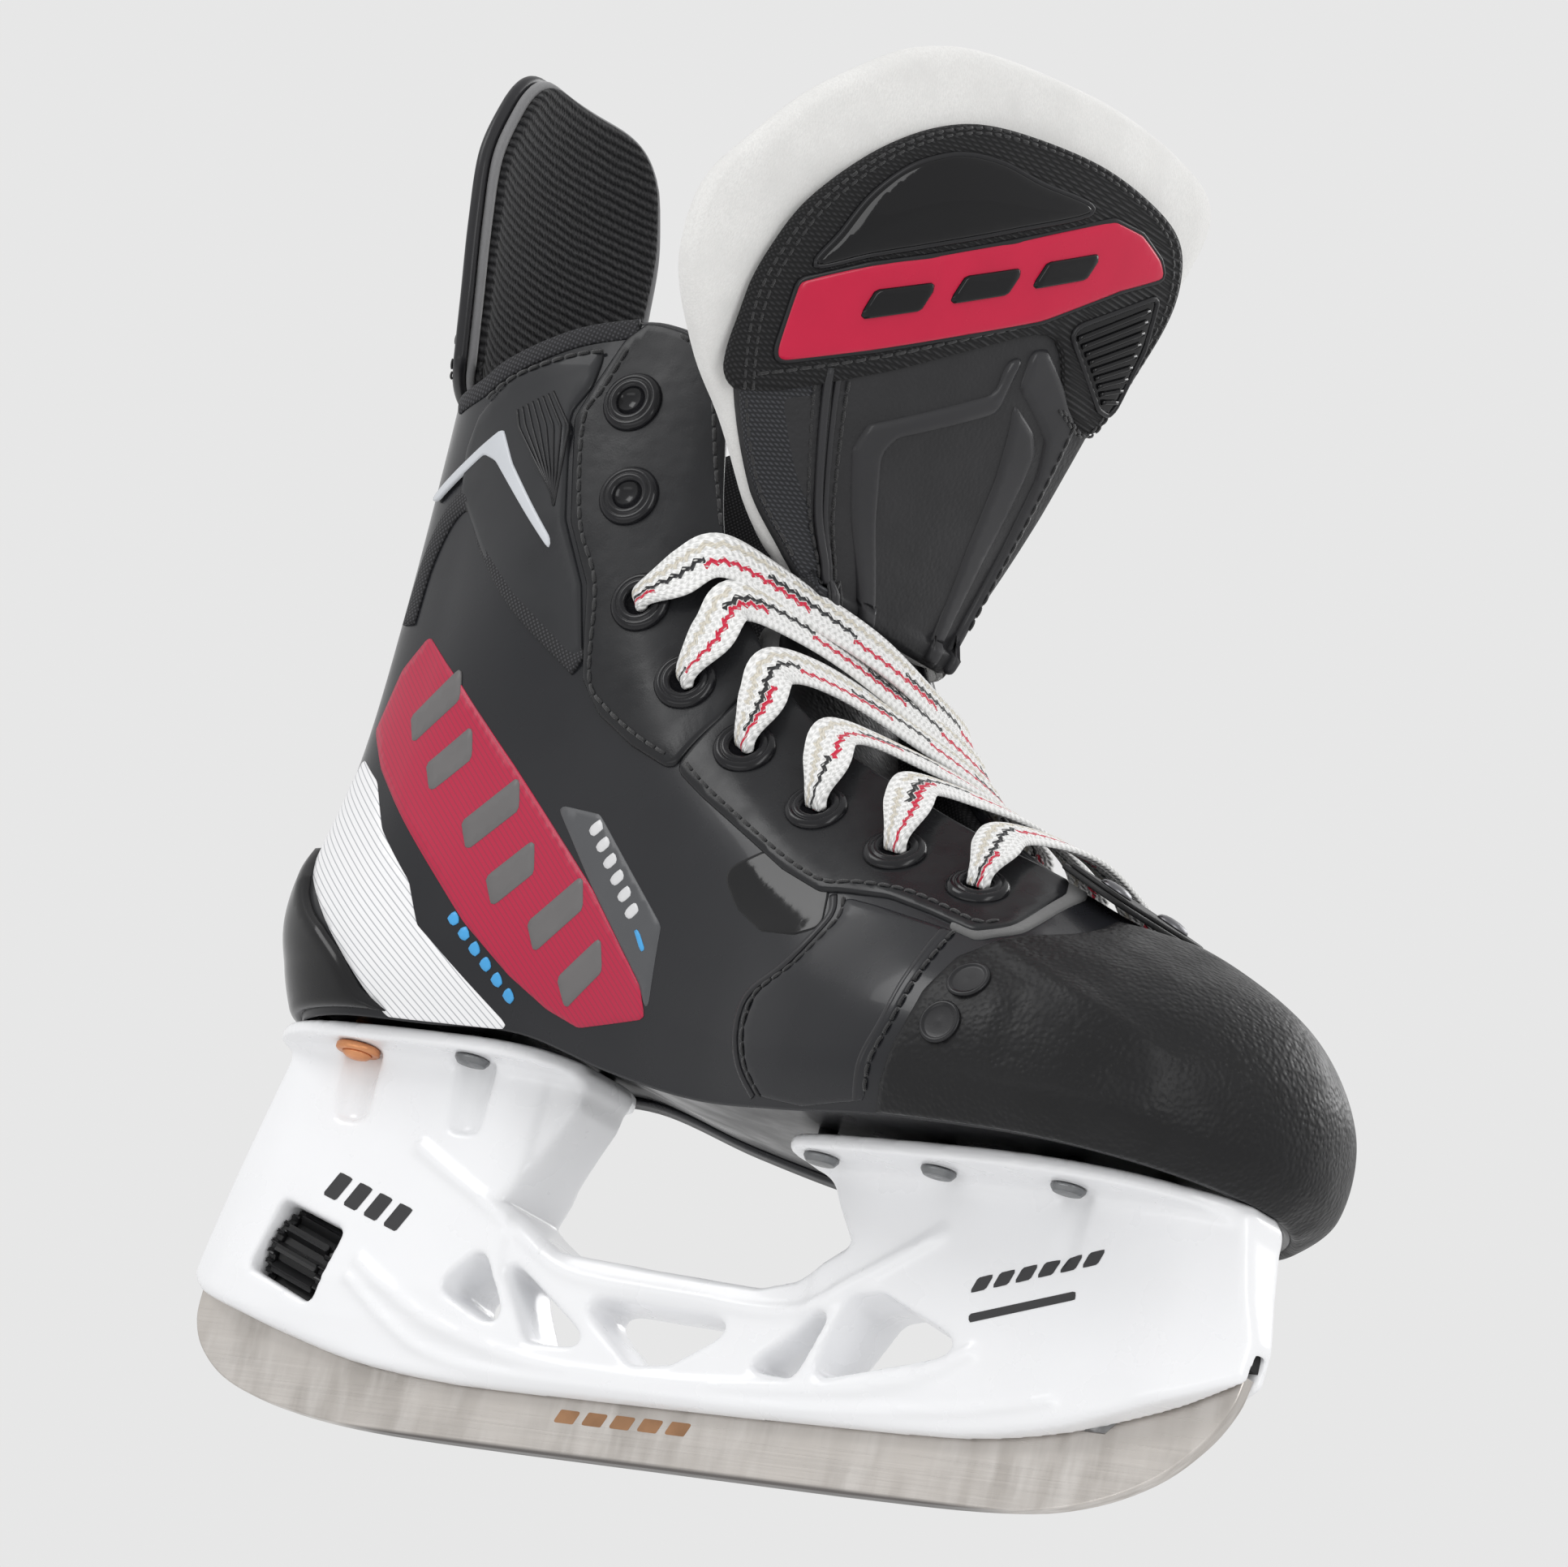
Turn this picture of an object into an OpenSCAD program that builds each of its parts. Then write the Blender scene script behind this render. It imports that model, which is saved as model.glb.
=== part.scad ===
// Ice hockey skate, junior size: boot, tongue, lace, blade holder and steel runner.
// Frame: +X towards the toe, +Z up, origin under the middle of the runner.

/* [Runner] */
// Length of the steel from tip to tip
runner_len = 238; // [234:1:242]
// Thickness of the steel
runner_t = 3; // [2.8:0.1:3]
// Height of the steel's straight top edge
runner_top = 17.5; // [16.5:0.5:18.5]

/* [Holder] */
// Height of the heel flange's top face
heel_z = 74; // [74:0.5:75]
// Height of the toe flange's top face
toe_z = 62; // [62:0.5:63]
// Thickness of both flanges
flange_t = 3; // [2.5:0.5:3.5]
// Side clearance of the runner in its slot
slot_gap = 0.1; // [0.08:0.01:0.15]

/* [Release] */
// Radius of the thumb dial
dial_r = 8.6; // [8:0.1:8.8]
// Length of the thumb dial along its axis
dial_len = 15; // [13:0.5:15.5]
// Radius of the lock bolt's shaft
bolt_r = 2; // [1.5:0.1:2.2]
// Slope of the dial's axis, toe end down
dial_slope = 18; // [16:1:19]
// Radial running clearance of the bolt
run_gap = 0.06; // [0.03:0.01:0.1]

/* [Boot] */
// Thickness of the boot's shell wall
shell_t = 3; // [2.5:0.25:3.5]
// Thickness of the foam and lining inside it
liner_t = 3.5; // [2.5:0.25:4]
// Thickness of trim panels on the outside
trim_t = 1.2; // [0.8:0.1:1.6]
// Outer radius of an eyelet
eyelet_r = 6; // [5.5:0.1:6.2]
// Radius of an eyelet's hole
eyelet_hole_r = 2.8; // [2.5:0.1:3]

/* [Soft parts] */
// Thickness of the tongue's felt
felt_t = 7; // [5:0.5:8]
// Thickness of the tongue's front panel
panel_t = 2.5; // [2:0.25:3]
// Width of the flat lace
lace_w = 9.5; // [8:0.5:10]
// Thickness of the flat lace
lace_t = 1.8; // [1.4:0.1:2]

/* [Hidden] */
skin = 0.12;              // gap between layers that lie on each other
joint_gap = 0.01;         // gap between walls side by side, in grid columns
holder_dark = [0.05, 0.05, 0.06];

// ---------- curves ----------
function catmull(a, b, c, d, t) =
  0.5 * (2 * b + (c - a) * t + (2 * a - 5 * b + 4 * c - d) * t * t
         + (3 * b - a - 3 * c + d) * t * t * t);
function last(list) = list[len(list) - 1];
// Smooth curve through the points p, n steps a span
function open_curve(p, n) = [
  for (i = [0:len(p) - 2], k = [0:n - 1])
    catmull(p[max(i - 1, 0)], p[i], p[i + 1], p[min(i + 2, len(p) - 1)], k / n),
  last(p)];
function wrapped(list, i) = list[(i + len(list)) % len(list)];
function loop_curve(p, n) = [
  for (i = [0:len(p) - 1], k = [0:n - 1])
    catmull(wrapped(p, i - 1), p[i], wrapped(p, i + 1), wrapped(p, i + 2), k / n)];
function unit(v) = v / max(norm(v), 0.0001);
function mirrored(p) = [p.x, -p.y, p.z];
// Polygon p with every corner rounded to radius r
function rounded(p, r) = [
  for (i = [0:len(p) - 1])
    let (a = unit(wrapped(p, i - 1) - p[i]), b = unit(wrapped(p, i + 1) - p[i]),
         half = acos(min(1, max(-1, a * b))) / 2,
         reach = min(r / tan(half), norm(wrapped(p, i - 1) - p[i]) * 0.45,
                     norm(wrapped(p, i + 1) - p[i]) * 0.45),
         s = p[i] + a * reach, e = p[i] + b * reach)
      for (k = [0:4])
        let (t = k / 4)
          (1 - t) * (1 - t) * s + 2 * t * (1 - t) * p[i] + t * t * e];

// ---------- boot surface ----------
// Ribs of the near side, from the sole up to the top edge, heel back to toe tip.
HEEL_RIB = [[-107.5, 0, 74], [-112, 0, 84], [-114.5, 0, 97], [-109, 0, 125],
            [-108, 0, 160], [-107, 0, 196]];
TOE_RIB = [[112, 0, 62], [118, 0, 70], [117.5, 0, 84], [110, 0, 96], [92, 0, 106], [68, 0, 114]];
SIDE_RIBS = [
  [[-101, -16, 74], [-104, -19, 84], [-106, -20.5, 97], [-101.5, -19.5, 125],
   [-101, -19, 160], [-101, -20, 197]],
  [[-86, -24, 74], [-86, -28, 84], [-87, -29.5, 97], [-84, -28, 125],
   [-84, -28, 160], [-87, -30, 200]],
  [[-66, -24, 74], [-65, -28, 84], [-65, -30, 98], [-64, -31, 127],
   [-66, -34, 165], [-69, -33, 208]],
  [[-44, -24, 74], [-43, -28, 83], [-42, -30.5, 98], [-44, -32, 127],
   [-52, -34, 168], [-50, -30, 213]],
  [[-20, -26, 68], [-19, -30, 79], [-18, -33, 96], [-22, -34, 120],
   [-36, -32.5, 157], [-35, -28, 204]],
  [[4, -30, 63.5], [6, -35, 75], [8, -37, 91], [0, -35.5, 112],
   [-19, -31, 140], [-24, -26, 169]],
  [[28, -36, 62], [31, -42, 71], [32, -43, 85], [27, -38, 102],
   [8, -30, 123], [-1, -22, 142]],
  [[54, -40, 62], [58, -46, 71], [59, -45.5, 84], [54, -38.5, 98],
   [41, -30, 111], [30, -19, 127]],
  [[86, -36, 62], [91, -42, 71], [91, -41, 83], [84, -34, 95],
   [70, -25, 105], [60, -13, 117]],
  [[105, -21, 62], [110, -25, 70], [109.5, -24.5, 84], [101, -20, 96],
   [84, -13, 106], [67, -6, 114.5]]
];
// How far the far facing is pushed open by the tongue, from the sole up
function opened(p, c, r) =
  (c >= 4 && c <= 7 && r >= 4) ? p + (r - 3) * [4, 3.5, 0] * (c == 4 || c == 7 ? 0.5 : 1) : p;
FAR_RIBS = [
  for (c = [len(SIDE_RIBS) - 1:-1:0])
    [for (r = [0:5]) opened(mirrored(SIDE_RIBS[c][r]), c, r)]];
RIBS = concat([HEEL_RIB], SIDE_RIBS, [TOE_RIB], FAR_RIBS);
U_STEPS = 2;
V_STEPS = 3;
COLS = len(RIBS) * U_STEPS;     // columns round the boot, 0 at the heel, 22 at the toe
ROWS = 5 * V_STEPS;             // last row, the top edge
FINE_RIBS = [for (rib = RIBS) open_curve(rib, V_STEPS)];
GRID = [for (j = [0:ROWS]) loop_curve([for (rib = FINE_RIBS) rib[j]], U_STEPS)];
function on_grid(i, j) = GRID[j][(i + COLS) % COLS];
// Outward normal
function grid_normal(i, j) =
  unit(cross(on_grid(i + 1, j) - on_grid(i - 1, j),
             on_grid(i, min(j + 1, ROWS)) - on_grid(i, max(j - 1, 0))));
function lifted(i, j, d) = on_grid(i, j) + grid_normal(i, j) * d;
// Point between grid lines, d outside the surface
function surf(u, v, d = 0) =
  let (i = floor(u), j = min(floor(v), ROWS - 1), s = u - i, t = v - j)
    (1 - s) * (1 - t) * lifted(i, j, d) + s * (1 - t) * lifted(i + 1, j, d)
    + (1 - s) * t * lifted(i, j + 1, d) + s * t * lifted(i + 1, j + 1, d);

// ---------- solids from point grids ----------
// Triangles of a grid of rows by cols points, wrapping round if it is a ring
function grid_faces(rows, cols, ring) = [
  for (j = [0:rows - 2], i = [0:cols - (ring ? 1 : 2)])
    let (a = j * cols + i, b = j * cols + (i + 1) % cols)
      each [[a, a + cols, b], [b, a + cols, b + cols]]];
function flipped(faces, n) = [for (f = faces) [f[0] + n, f[2] + n, f[1] + n]];
function edge_faces(path, n, far = false) = [
  for (k = [0:len(path) - 2])
    let (p = path[k], q = path[k + 1])
      each far ? [[p, q, q + n], [p, q + n, p + n]] : [[p, q, p + n], [q, q + n, p + n]]];
// Closed solid between the grids a (outside) and b (inside)
module slab(a, b, ring = false) {
  rows = len(a);
  cols = len(a[0]);
  n = rows * cols;
  outer = grid_faces(rows, cols, ring);
  low = [for (i = [0:cols - 1]) i];
  high = [for (i = [cols - 1:-1:0]) (rows - 1) * cols + i];
  right = [for (j = [0:rows - 1]) j * cols + cols - 1];
  left = [for (j = [rows - 1:-1:0]) j * cols];
  rims = ring
    ? concat(edge_faces(concat(low, [0]), n),
             edge_faces(concat([(rows - 1) * cols], high), n, true))
    : concat(edge_faces(low, n), edge_faces(right, n), edge_faces(high, n, true),
             edge_faces(left, n, true));
  polyhedron(concat([for (r = a) each r], [for (r = b) each r]),
             concat(outer, flipped(outer, n), rims), convexity = 6);
}
// Grid of wall points, its last column and its first row drawn in a little as a joint
function layer(i0, i1, j0, j1, d) = [
  for (j = [j0:j1]) [for (i = [i0:i1]) surf(i == i1 ? i - joint_gap : i,
                                            j == j0 ? j + 2 * joint_gap : j, d)]];
function ring_layer(j0, j1, d) = [for (j = [j0:j1]) [for (i = [0:COLS - 1]) lifted(i, j, d)]];
// Part of the boot's wall: columns i0 to i1, rows j0 to j1, between two depths
module wall(i0, i1, j0, j1, d_in, d_out) {
  slab(layer(i0, i1, j0, j1, d_out), layer(i0, i1, j0, j1, d_in));
}
module wall_ring(j0, j1, d_in, d_out) {
  slab(ring_layer(j0, j1, d_out), ring_layer(j0, j1, d_in), ring = true);
}
// Stands children on the boot's surface at column u, row v, with their Z outwards
module on_boot(u, v) {
  p = surf(u, v);
  n = unit(surf(u, v, 1) - p);
  translate(p) rotate([0, acos(n.z), atan2(n.y, n.x)]) children();
}

// ---------- steel and holder ----------
// Lower edge of the steel, heel tip to toe tip
RUNNER_EDGE = [[-119, 24], [-118.6, 17.5], [-115, 11.5], [-107, 6.2], [-93, 2.6], [-72, 0.5],
               [-36, 0], [36, 0], [72, 0.8], [90, 3.6], [104, 9.6], [113, 17.5], [117.6, 25],
               [118.8, 31]];
// Upper edge inside the holder, toe tip back to the heel tip
RUNNER_BACK = [[116, 31.6], [104, 31.6], [92, runner_top], [-66, runner_top], [-80, 20.4],
               [-104, 20.4], [-107, 24]];
// Lower edge of the holder, heel to toe
HOLDER_EDGE = [[-120.5, 25.5], [-115.5, 22], [-105, 18.9], [-95, 16.3], [-79, 12.9],
               [-62, 11.2], [-45, 10.8], [0, 11.3], [50, 12.3], [68, 13.4], [82, 15.8],
               [91, 18.2], [100, 21.1], [109, 24.5], [120, 30]];
HOLDER_TOP = [[120.4, 37], [117.4, 46], [115, 56], [114, 60], [20, 60], [25, 54], [31.5, 45.5],
              [31, 44.4], [20.2, 37.6], [12.1, 35.6], [-11.7, 36.6], [-34.8, 37.8],
              [-48.5, 45.5], [-39, 65], [-38, 72], [-107, 72], [-107, 68]];
WINDOWS = [
  [[-58.5, 28], [-50.6, 35.5], [-42.9, 21.5]],
  [[-47, 36], [-23, 20.6], [-37, 20.4]],
  [[-28, 29.6], [9, 28.2], [-4, 19.6], [-12.6, 18.6]],
  [[31.5, 33.6], [24.5, 19.8], [13, 20.2]],
  [[35.5, 34.8], [41.4, 36], [62.4, 28], [28.8, 19.8]]];
// Half widths of the web at heights, and of the towers along X
WEB_SECTION = [[5.2, 10], [5.9, 14], [8, 20], [9.6, 27], [10.2, 40], [11, 55], [12.5, 73]];
WEB_PLAN = [[-122, 3], [-116, 6.5], [-108, 9.5], [-95, 12.5], [-60, 13], [-48, 10], [-38, 7.6],
            [16, 7.6], [28, 10], [45, 13], [80, 13], [100, 10.5], [112, 7], [119, 4.2], [121.5, 2]];
HEEL_PLAN = [[-112, 4], [-108.5, 11.5], [-100, 18], [-87, 20.8], [-60, 20.8], [-47, 18], [-41, 12],
             [-39.5, 4]];
TOE_PLAN = [[18, 5], [18.5, 16], [24, 22], [44, 25], [74, 26], [94, 21.5], [106, 13.5], [113, 4]];
dial_at = [-93.5, 31.4];
bolt_travel = 3;
bolt_tip = 18;            // from the dial's centre to the point of the bolt
bolt_tail = 13;
rivet_r = 3.4;
shank_r = 1.8;
heel_front_rivets = [[-61, -14], [-50, 13]];
heel_rear_rivets = [[-88, -14], [-88, 14]];
toe_rivets = [for (x = [25.5, 52, 80], side = [-1, 1]) [x, side * (x > 70 ? 15 : 16.5)]];

function both_sides(half) = concat(half, [for (i = [len(half) - 1:-1:0]) [half[i].x, -half[i].y]]);
function section_pair(half) =
  concat(half, [for (i = [len(half) - 1:-1:0]) [-half[i].x, half[i].y]]);
// Extrudes a side profile across the skate
module across(half) {
  rotate([90, 0, 0]) linear_extrude(2 * half, center = true) children();
}
module along_dial() {
  translate([dial_at.x, 0, dial_at.y]) rotate([0, 90 + dial_slope, 0]) children();
}
module runner_profile() {
  polygon([for (p = concat(open_curve(RUNNER_EDGE, 4), RUNNER_BACK))
    [p.x * runner_len / 238, max(p.y, 0)]]);
  // Hook that the bolt's bevel holds up
  translate(dial_at) rotate(-dial_slope)
    polygon([[12.2, 7.5], [12.2, 4.6], [15.4, 2.5], [18.6, -1.8], [18.6, -7], [29, -6], [30, 1],
             [22, 7.5]]);
}
module runner() {
  color("silver") across(runner_t / 2) runner_profile();
}
module lock_bolt() {
  color("gray") along_dial() difference() {
    translate([0, 0, -bolt_tail]) cylinder(r = bolt_r, h = bolt_tail + bolt_tip, $fn = 32);
    // Bevelled nose, high side back
    translate([0, 0, bolt_tip - 1.5]) rotate([0, -37, 0]) translate([-10, -10, 0]) cube([20, 20, 12]);
  }
}
module lock_dial() {
  ribs = 12;
  color(holder_dark) along_dial() difference() {
    union() {
      cylinder(r = dial_r - 1.6, h = dial_len, center = true, $fn = 48);
      for (end = [-1, 1]) translate([0, 0, end * (dial_len / 2 - 0.9)])
        cylinder(r = dial_r - 0.5, h = 1.8, center = true, $fn = 48);
      for (i = [0:ribs - 1]) rotate(i * 360 / ribs)
        translate([dial_r - 1.1, 0, 0]) cube([2.2, 1.3, dial_len], center = true);
    }
    cylinder(r = bolt_r + run_gap, h = dial_len + 2, center = true, $fn = 32);
  }
}
module flange(plan, z, t) {
  translate([0, 0, z - t]) linear_extrude(t) polygon(both_sides(open_curve(plan, 3)));
}
// Clearance for a rivet's head under a flange at height z
module rivet_pocket(p, z) {
  translate([p.x, p.y, z - flange_t - 14]) cylinder(r = 4.9, h = 14, $fn = 32);
}
module rivet_holes() {
  for (p = concat(heel_front_rivets, heel_rear_rivets, toe_rivets))
    translate([p.x, p.y, 50]) cylinder(r = shank_r + skin, h = 40, $fn = 32);
}
module blade_holder() {
  color("white") difference() {
    union() {
      intersection() {
        across(30) polygon(concat(open_curve(HOLDER_EDGE, 2), HOLDER_TOP));
        rotate([90, 0, 90]) linear_extrude(260, center = true)
          polygon(section_pair(WEB_SECTION));
        linear_extrude(90) polygon(both_sides(WEB_PLAN));
      }
      flange(HEEL_PLAN, heel_z, flange_t);
      flange(TOE_PLAN, toe_z, flange_t);
    }
    for (w = WINDOWS) across(30) polygon(rounded(w, 2));
    // Slot for the steel, open below, with room above its hook
    across(runner_t / 2 + slot_gap) {
      polygon([[122, -5], [122, 33], [119.4, 36], [90, 36], [88, runner_top + 0.5],
               [-60, runner_top + 0.5], [-62, 40], [-86, 40], [-86, 20.9], [-104, 20.9],
               [-106.5, 24.5], [-125, 24.5], [-125, -5]]);
    }
    // Room for the dial, open at both sides
    along_dial() cylinder(r = dial_r + 0.5, h = dial_len + 1, center = true, $fn = 64);
    across(30) translate(dial_at) rotate(-dial_slope)
      polygon(rounded([[-8, -7], [8, -7.5], [8, 7.5], [-8, 7]], 2));
    along_dial() translate([0, 0, -bolt_tail - bolt_travel - 0.5])
      cylinder(r = bolt_r + run_gap, h = 60, $fn = 32);
    for (p = concat(heel_front_rivets, heel_rear_rivets)) rivet_pocket(p, heel_z);
    for (p = toe_rivets) rivet_pocket(p, toe_z);
    rivet_holes();
  }
}
module front_slot_pad() {
  color(holder_dark) across(runner_t / 2 + slot_gap)
    polygon([[112, 32.4], [119.2, 32.4], [119, 36], [112, 36]]);
}
// Rivet with its head under a flange at height z
module rivet(p, z, r, head) {
  translate([p.x, p.y, z - flange_t]) {
    translate([0, 0, -head]) cylinder(r1 = r * 0.8, r2 = r, h = head, $fn = 32);
    cylinder(r = shank_r, h = flange_t + 2.6, $fn = 32);
  }
}
module heel_steel_rivets() {
  color("dimgray") for (p = heel_front_rivets) rivet(p, heel_z, rivet_r, 1.4);
}
module toe_steel_rivets() {
  color("dimgray") for (p = toe_rivets) rivet(p, toe_z, rivet_r, 1.4);
}
module copper_rivets() {
  color("peru") for (p = heel_rear_rivets) translate([p.x, p.y, heel_z - flange_t - 1.5]) {
    translate([0, 0, -1.2]) cylinder(r1 = 1.8, r2 = 3, h = 1.2, $fn = 32);
    cylinder(r = shank_r, h = flange_t + 4, $fn = 32);
  }
}
module copper_washers() {
  color("peru") for (p = heel_rear_rivets) translate([p.x, p.y, heel_z - flange_t - 1.5])
    difference() {
      cylinder(r = 4.3, h = 1.45, $fn = 48);
      translate([0, 0, -1]) cylinder(r = shank_r + 0.05, h = 4, $fn = 32);
    }
}

// ---------- boot ----------
// Plate across the inside of the boot, from height low to high above the sole line
module sole_plate(inset, low, high) {
  function line(i, h) =
    let (a = lifted(i, 0, -inset), b = lifted(-i, 0, -inset))
      [for (k = [0:4]) [a.x + (b.x - a.x) * k / 4, a.y + (b.y - a.y) * k / 4, a.z + h]];
  slab([for (i = [2:21]) line(i, low)], [for (i = [2:21]) line(i, high)]);
}
module outsole() {
  color("dimgray") difference() {
    sole_plate(shell_t + skin, 0.05, 3);
    rivet_holes();
  }
}
module footbed() {
  color("gray") sole_plate(shell_t + liner_t + 1, 5, 8);
}
module boot_shell() {
  color("dimgray") wall_ring(0, 11, -shell_t, 0);
}
module boot_liner() {
  color("gray") wall_ring(2, 11, -shell_t - skin - liner_t, -shell_t - skin);
}
module heel_cup() {
  color(holder_dark) wall(-7, 7, 1, 7, skin, 2.2);
}
module toe_cap() {
  color(holder_dark) {
    wall(17, 27, 1, 11, skin, 1.8);
    wall(18, 26, 11, 13, skin, 1.8);
  }
}
module toe_plugs() {
  color("dimgray") for (side = [-1, 1], p = [[18.25, 7.4], [18, 5.7]])
    on_boot(22 + side * (22 - p[0]), p[1]) translate([0, 0, 2]) cylinder(r = 3.7, h = 0.7, $fn = 32);
}
module ankle_collar() {
  color("dimgray") wall(-7, 7, 11, 15, -shell_t, 0);
}
module collar_lining() {
  color("gray") wall(-7, 7, 11, 15, -shell_t - skin - liner_t, -shell_t - skin);
}
module ankle_panel_near() {
  color(holder_dark) wall(2, 7, 9, 14, skin, trim_t);
}
module ankle_panel_far() {
  color(holder_dark) wall(-7, -2, 9, 14, skin, trim_t);
}
// Eyelet positions on the near side, column and row, top one first
EYELETS = [[8.05, 13.7], [8.9, 12.8], [10, 12], [11.7, 12], [13.1, 12.1], [14.4, 12.1],
           [15.6, 12.2], [16.8, 12.3]];
lining_gap = 0.7;         // facing thickness beyond the shell's wall
module eyelet_row(side) {
  for (k = [0:len(EYELETS) - 1])
    on_boot(side < 0 ? EYELETS[k][0] : COLS - EYELETS[k][0], EYELETS[k][1]) children();
}
module facing(i0, i1, side) {
  difference() {
    if (side < 0) wall(i0, i1, 11, 15, -shell_t, lining_gap);
    else wall(COLS - i1, COLS - i0, 11, 15, -shell_t, lining_gap);
    eyelet_row(side) {
      translate([0, 0, -8]) cylinder(r = eyelet_hole_r + 0.9 + skin, h = 16, $fn = 32);
      // Flat seats for the eyelet's two rims
      translate([0, 0, lining_gap + 0.05]) cylinder(r = eyelet_r + 0.3, h = 4, $fn = 48);
      translate([0, 0, -shell_t - 5]) cylinder(r = eyelet_r - 0.8, h = 4.95, $fn = 48);
    }
  }
}
module eyelet() {
  thick = shell_t + lining_gap;
  rotate_extrude($fn = 48) polygon([
    [eyelet_hole_r, -thick - 0.6], [eyelet_r - 1.2, -thick - 0.6], [eyelet_r - 1.2, -thick - 0.15],
    [eyelet_hole_r + 0.9, -thick - 0.15], [eyelet_hole_r + 0.9, 0.15], [eyelet_r, 0.15],
    [eyelet_r, 0.9], [eyelet_r - 0.9, 1.7], [eyelet_hole_r + 0.9, 1.7], [eyelet_hole_r, 1]]);
}
module eyelets(side) {
  color("black") eyelet_row(side) translate([0, 0, lining_gap]) eyelet();
}
module upper_facing_near() {
  color(holder_dark) facing(7, 13, -1);
}
module upper_facing_far() {
  color(holder_dark) facing(7, 13, 1);
}
module lower_facing_near() {
  color(holder_dark) facing(13, 18, -1);
}
module lower_facing_far() {
  color(holder_dark) facing(13, 18, 1);
}
module vamp_front() {
  color("dimgray") wall(18, 26, 11, 15, -shell_t, 0);
}
module vamp_panel_near() {
  color("dimgray") wall(13, 17, 1, 10, skin, trim_t);
}
module vamp_panel_far() {
  color("dimgray") wall(27, 31, 1, 10, skin, trim_t);
}
module eyelets_near() {
  eyelets(-1);
}
module eyelets_far() {
  eyelets(1);
}

// ---------- tendon guard and tongue ----------
// Rows of the guard, bottom up: height at the middle, half width, depth of the curve, X at the back
GUARD = [[198, 27, 10, -109.5], [213, 29.5, 10, -110.5], [229, 31, 9, -111.5],
         [244, 31, 7.5, -112], [257, 27, 6, -111.5], [267, 23, 4.5, -110.5]];
guard_t = 2.6;
guard_lining_t = 3;
// Layer of the guard at a depth in front of its back face
function guard_layer(d) = [
  for (g = open_curve(GUARD, 2))
    [for (k = [-6:6]) let (s = k / 6) [g[3] + g[2] * s * s + d, g[1] * s * (1 - d / 90),
                                       g[0] + (g == GUARD[0] ? 5 * s * s : 5 * s * s * (267 - g[0]) / 69)]]];
module tendon_guard() {
  color("dimgray") slab(guard_layer(guard_t), guard_layer(0));
}
module guard_lining() {
  color(holder_dark) slab(guard_layer(guard_t + skin + guard_lining_t), guard_layer(guard_t + skin));
}
// Tongue sections: centre, direction across it, half width, drop of its edges
TONGUE_UPPER = [
  [[-11, 6, 174], [0.10, 0.99, 0.08], 28, 4], [[-8, 2.5, 188], [0.20, 0.94, 0.22], 37, 6],
  [[-2, -4, 209], [0.28, 0.90, 0.32], 50, 7], [[4, -10, 233], [0.29, 0.90, 0.32], 60, 8],
  [[6, -17, 252], [0.29, 0.90, 0.32], 58, 8], [[3, -25, 265], [0.29, 0.90, 0.32], 40, 6],
  [[0, -30, 273], [0.29, 0.90, 0.32], 18, 2]];
TONGUE_LOWER = [
  [[64, 0, 111], [0, 1, 0], 8, 0.5], [[44, 0, 119], [0, 1, 0], 12, 1.5],
  [[20, 0, 126], [0, 1, 0], 14, 2], [[3, 0, 136], [0, 1, 0], 17, 3],
  [[-7, 1, 150], [0.05, 1, 0.05], 20, 4], [[-12.5, 4, 171], [0.10, 0.99, 0.08], 23, 4]];
// Layer of a tongue at depth d behind its front, with its width scaled by grow
function tongue_layer(sections, d, grow = 1) = [
  for (j = [0:len(sections) - 1])
    let (s = sections[j], before = sections[max(j - 1, 0)][0],
         after = sections[min(j + 1, len(sections) - 1)][0],
         across = unit(s[1]), n = unit(cross(across, after - before)))
      [for (k = [-6:6]) let (t = k / 6)
        s[0] + across * t * (s[2] * grow) - n * (s[3] * t * t * grow * grow + d)]];
function upper_part(from, to) = [for (j = [from:to]) TONGUE_UPPER[j]];
module tongue_felt() {
  color("white") slab(tongue_layer(TONGUE_UPPER, 0), tongue_layer(TONGUE_UPPER, felt_t));
}
module tongue_panel() {
  s = upper_part(0, 2);
  color("dimgray") slab(tongue_layer(s, -panel_t, 0.93), tongue_layer(s, -skin, 0.93));
}
module tongue_cap() {
  s = upper_part(2, 5);
  color(holder_dark) slab(tongue_layer(s, -panel_t - 1.2, 0.78), tongue_layer(s, -skin, 0.78));
}
module tongue_base() {
  color("dimgray") slab(tongue_layer(TONGUE_LOWER, 0), tongue_layer(TONGUE_LOWER, felt_t));
}
module toe_strip() {
  color(holder_dark) translate([60, 0, 119]) rotate([0, 24, 0]) translate([0, -17, 0]) cube([17, 34, 2]);
}
module strip_rivets() {
  color("dimgray") translate([60, 0, 119]) rotate([0, 24, 0]) for (side = [-1, 1])
    translate([10, side * 10, 2]) cylinder(r1 = 3, r2 = 2, h = 1.2, $fn = 32);
}

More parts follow.
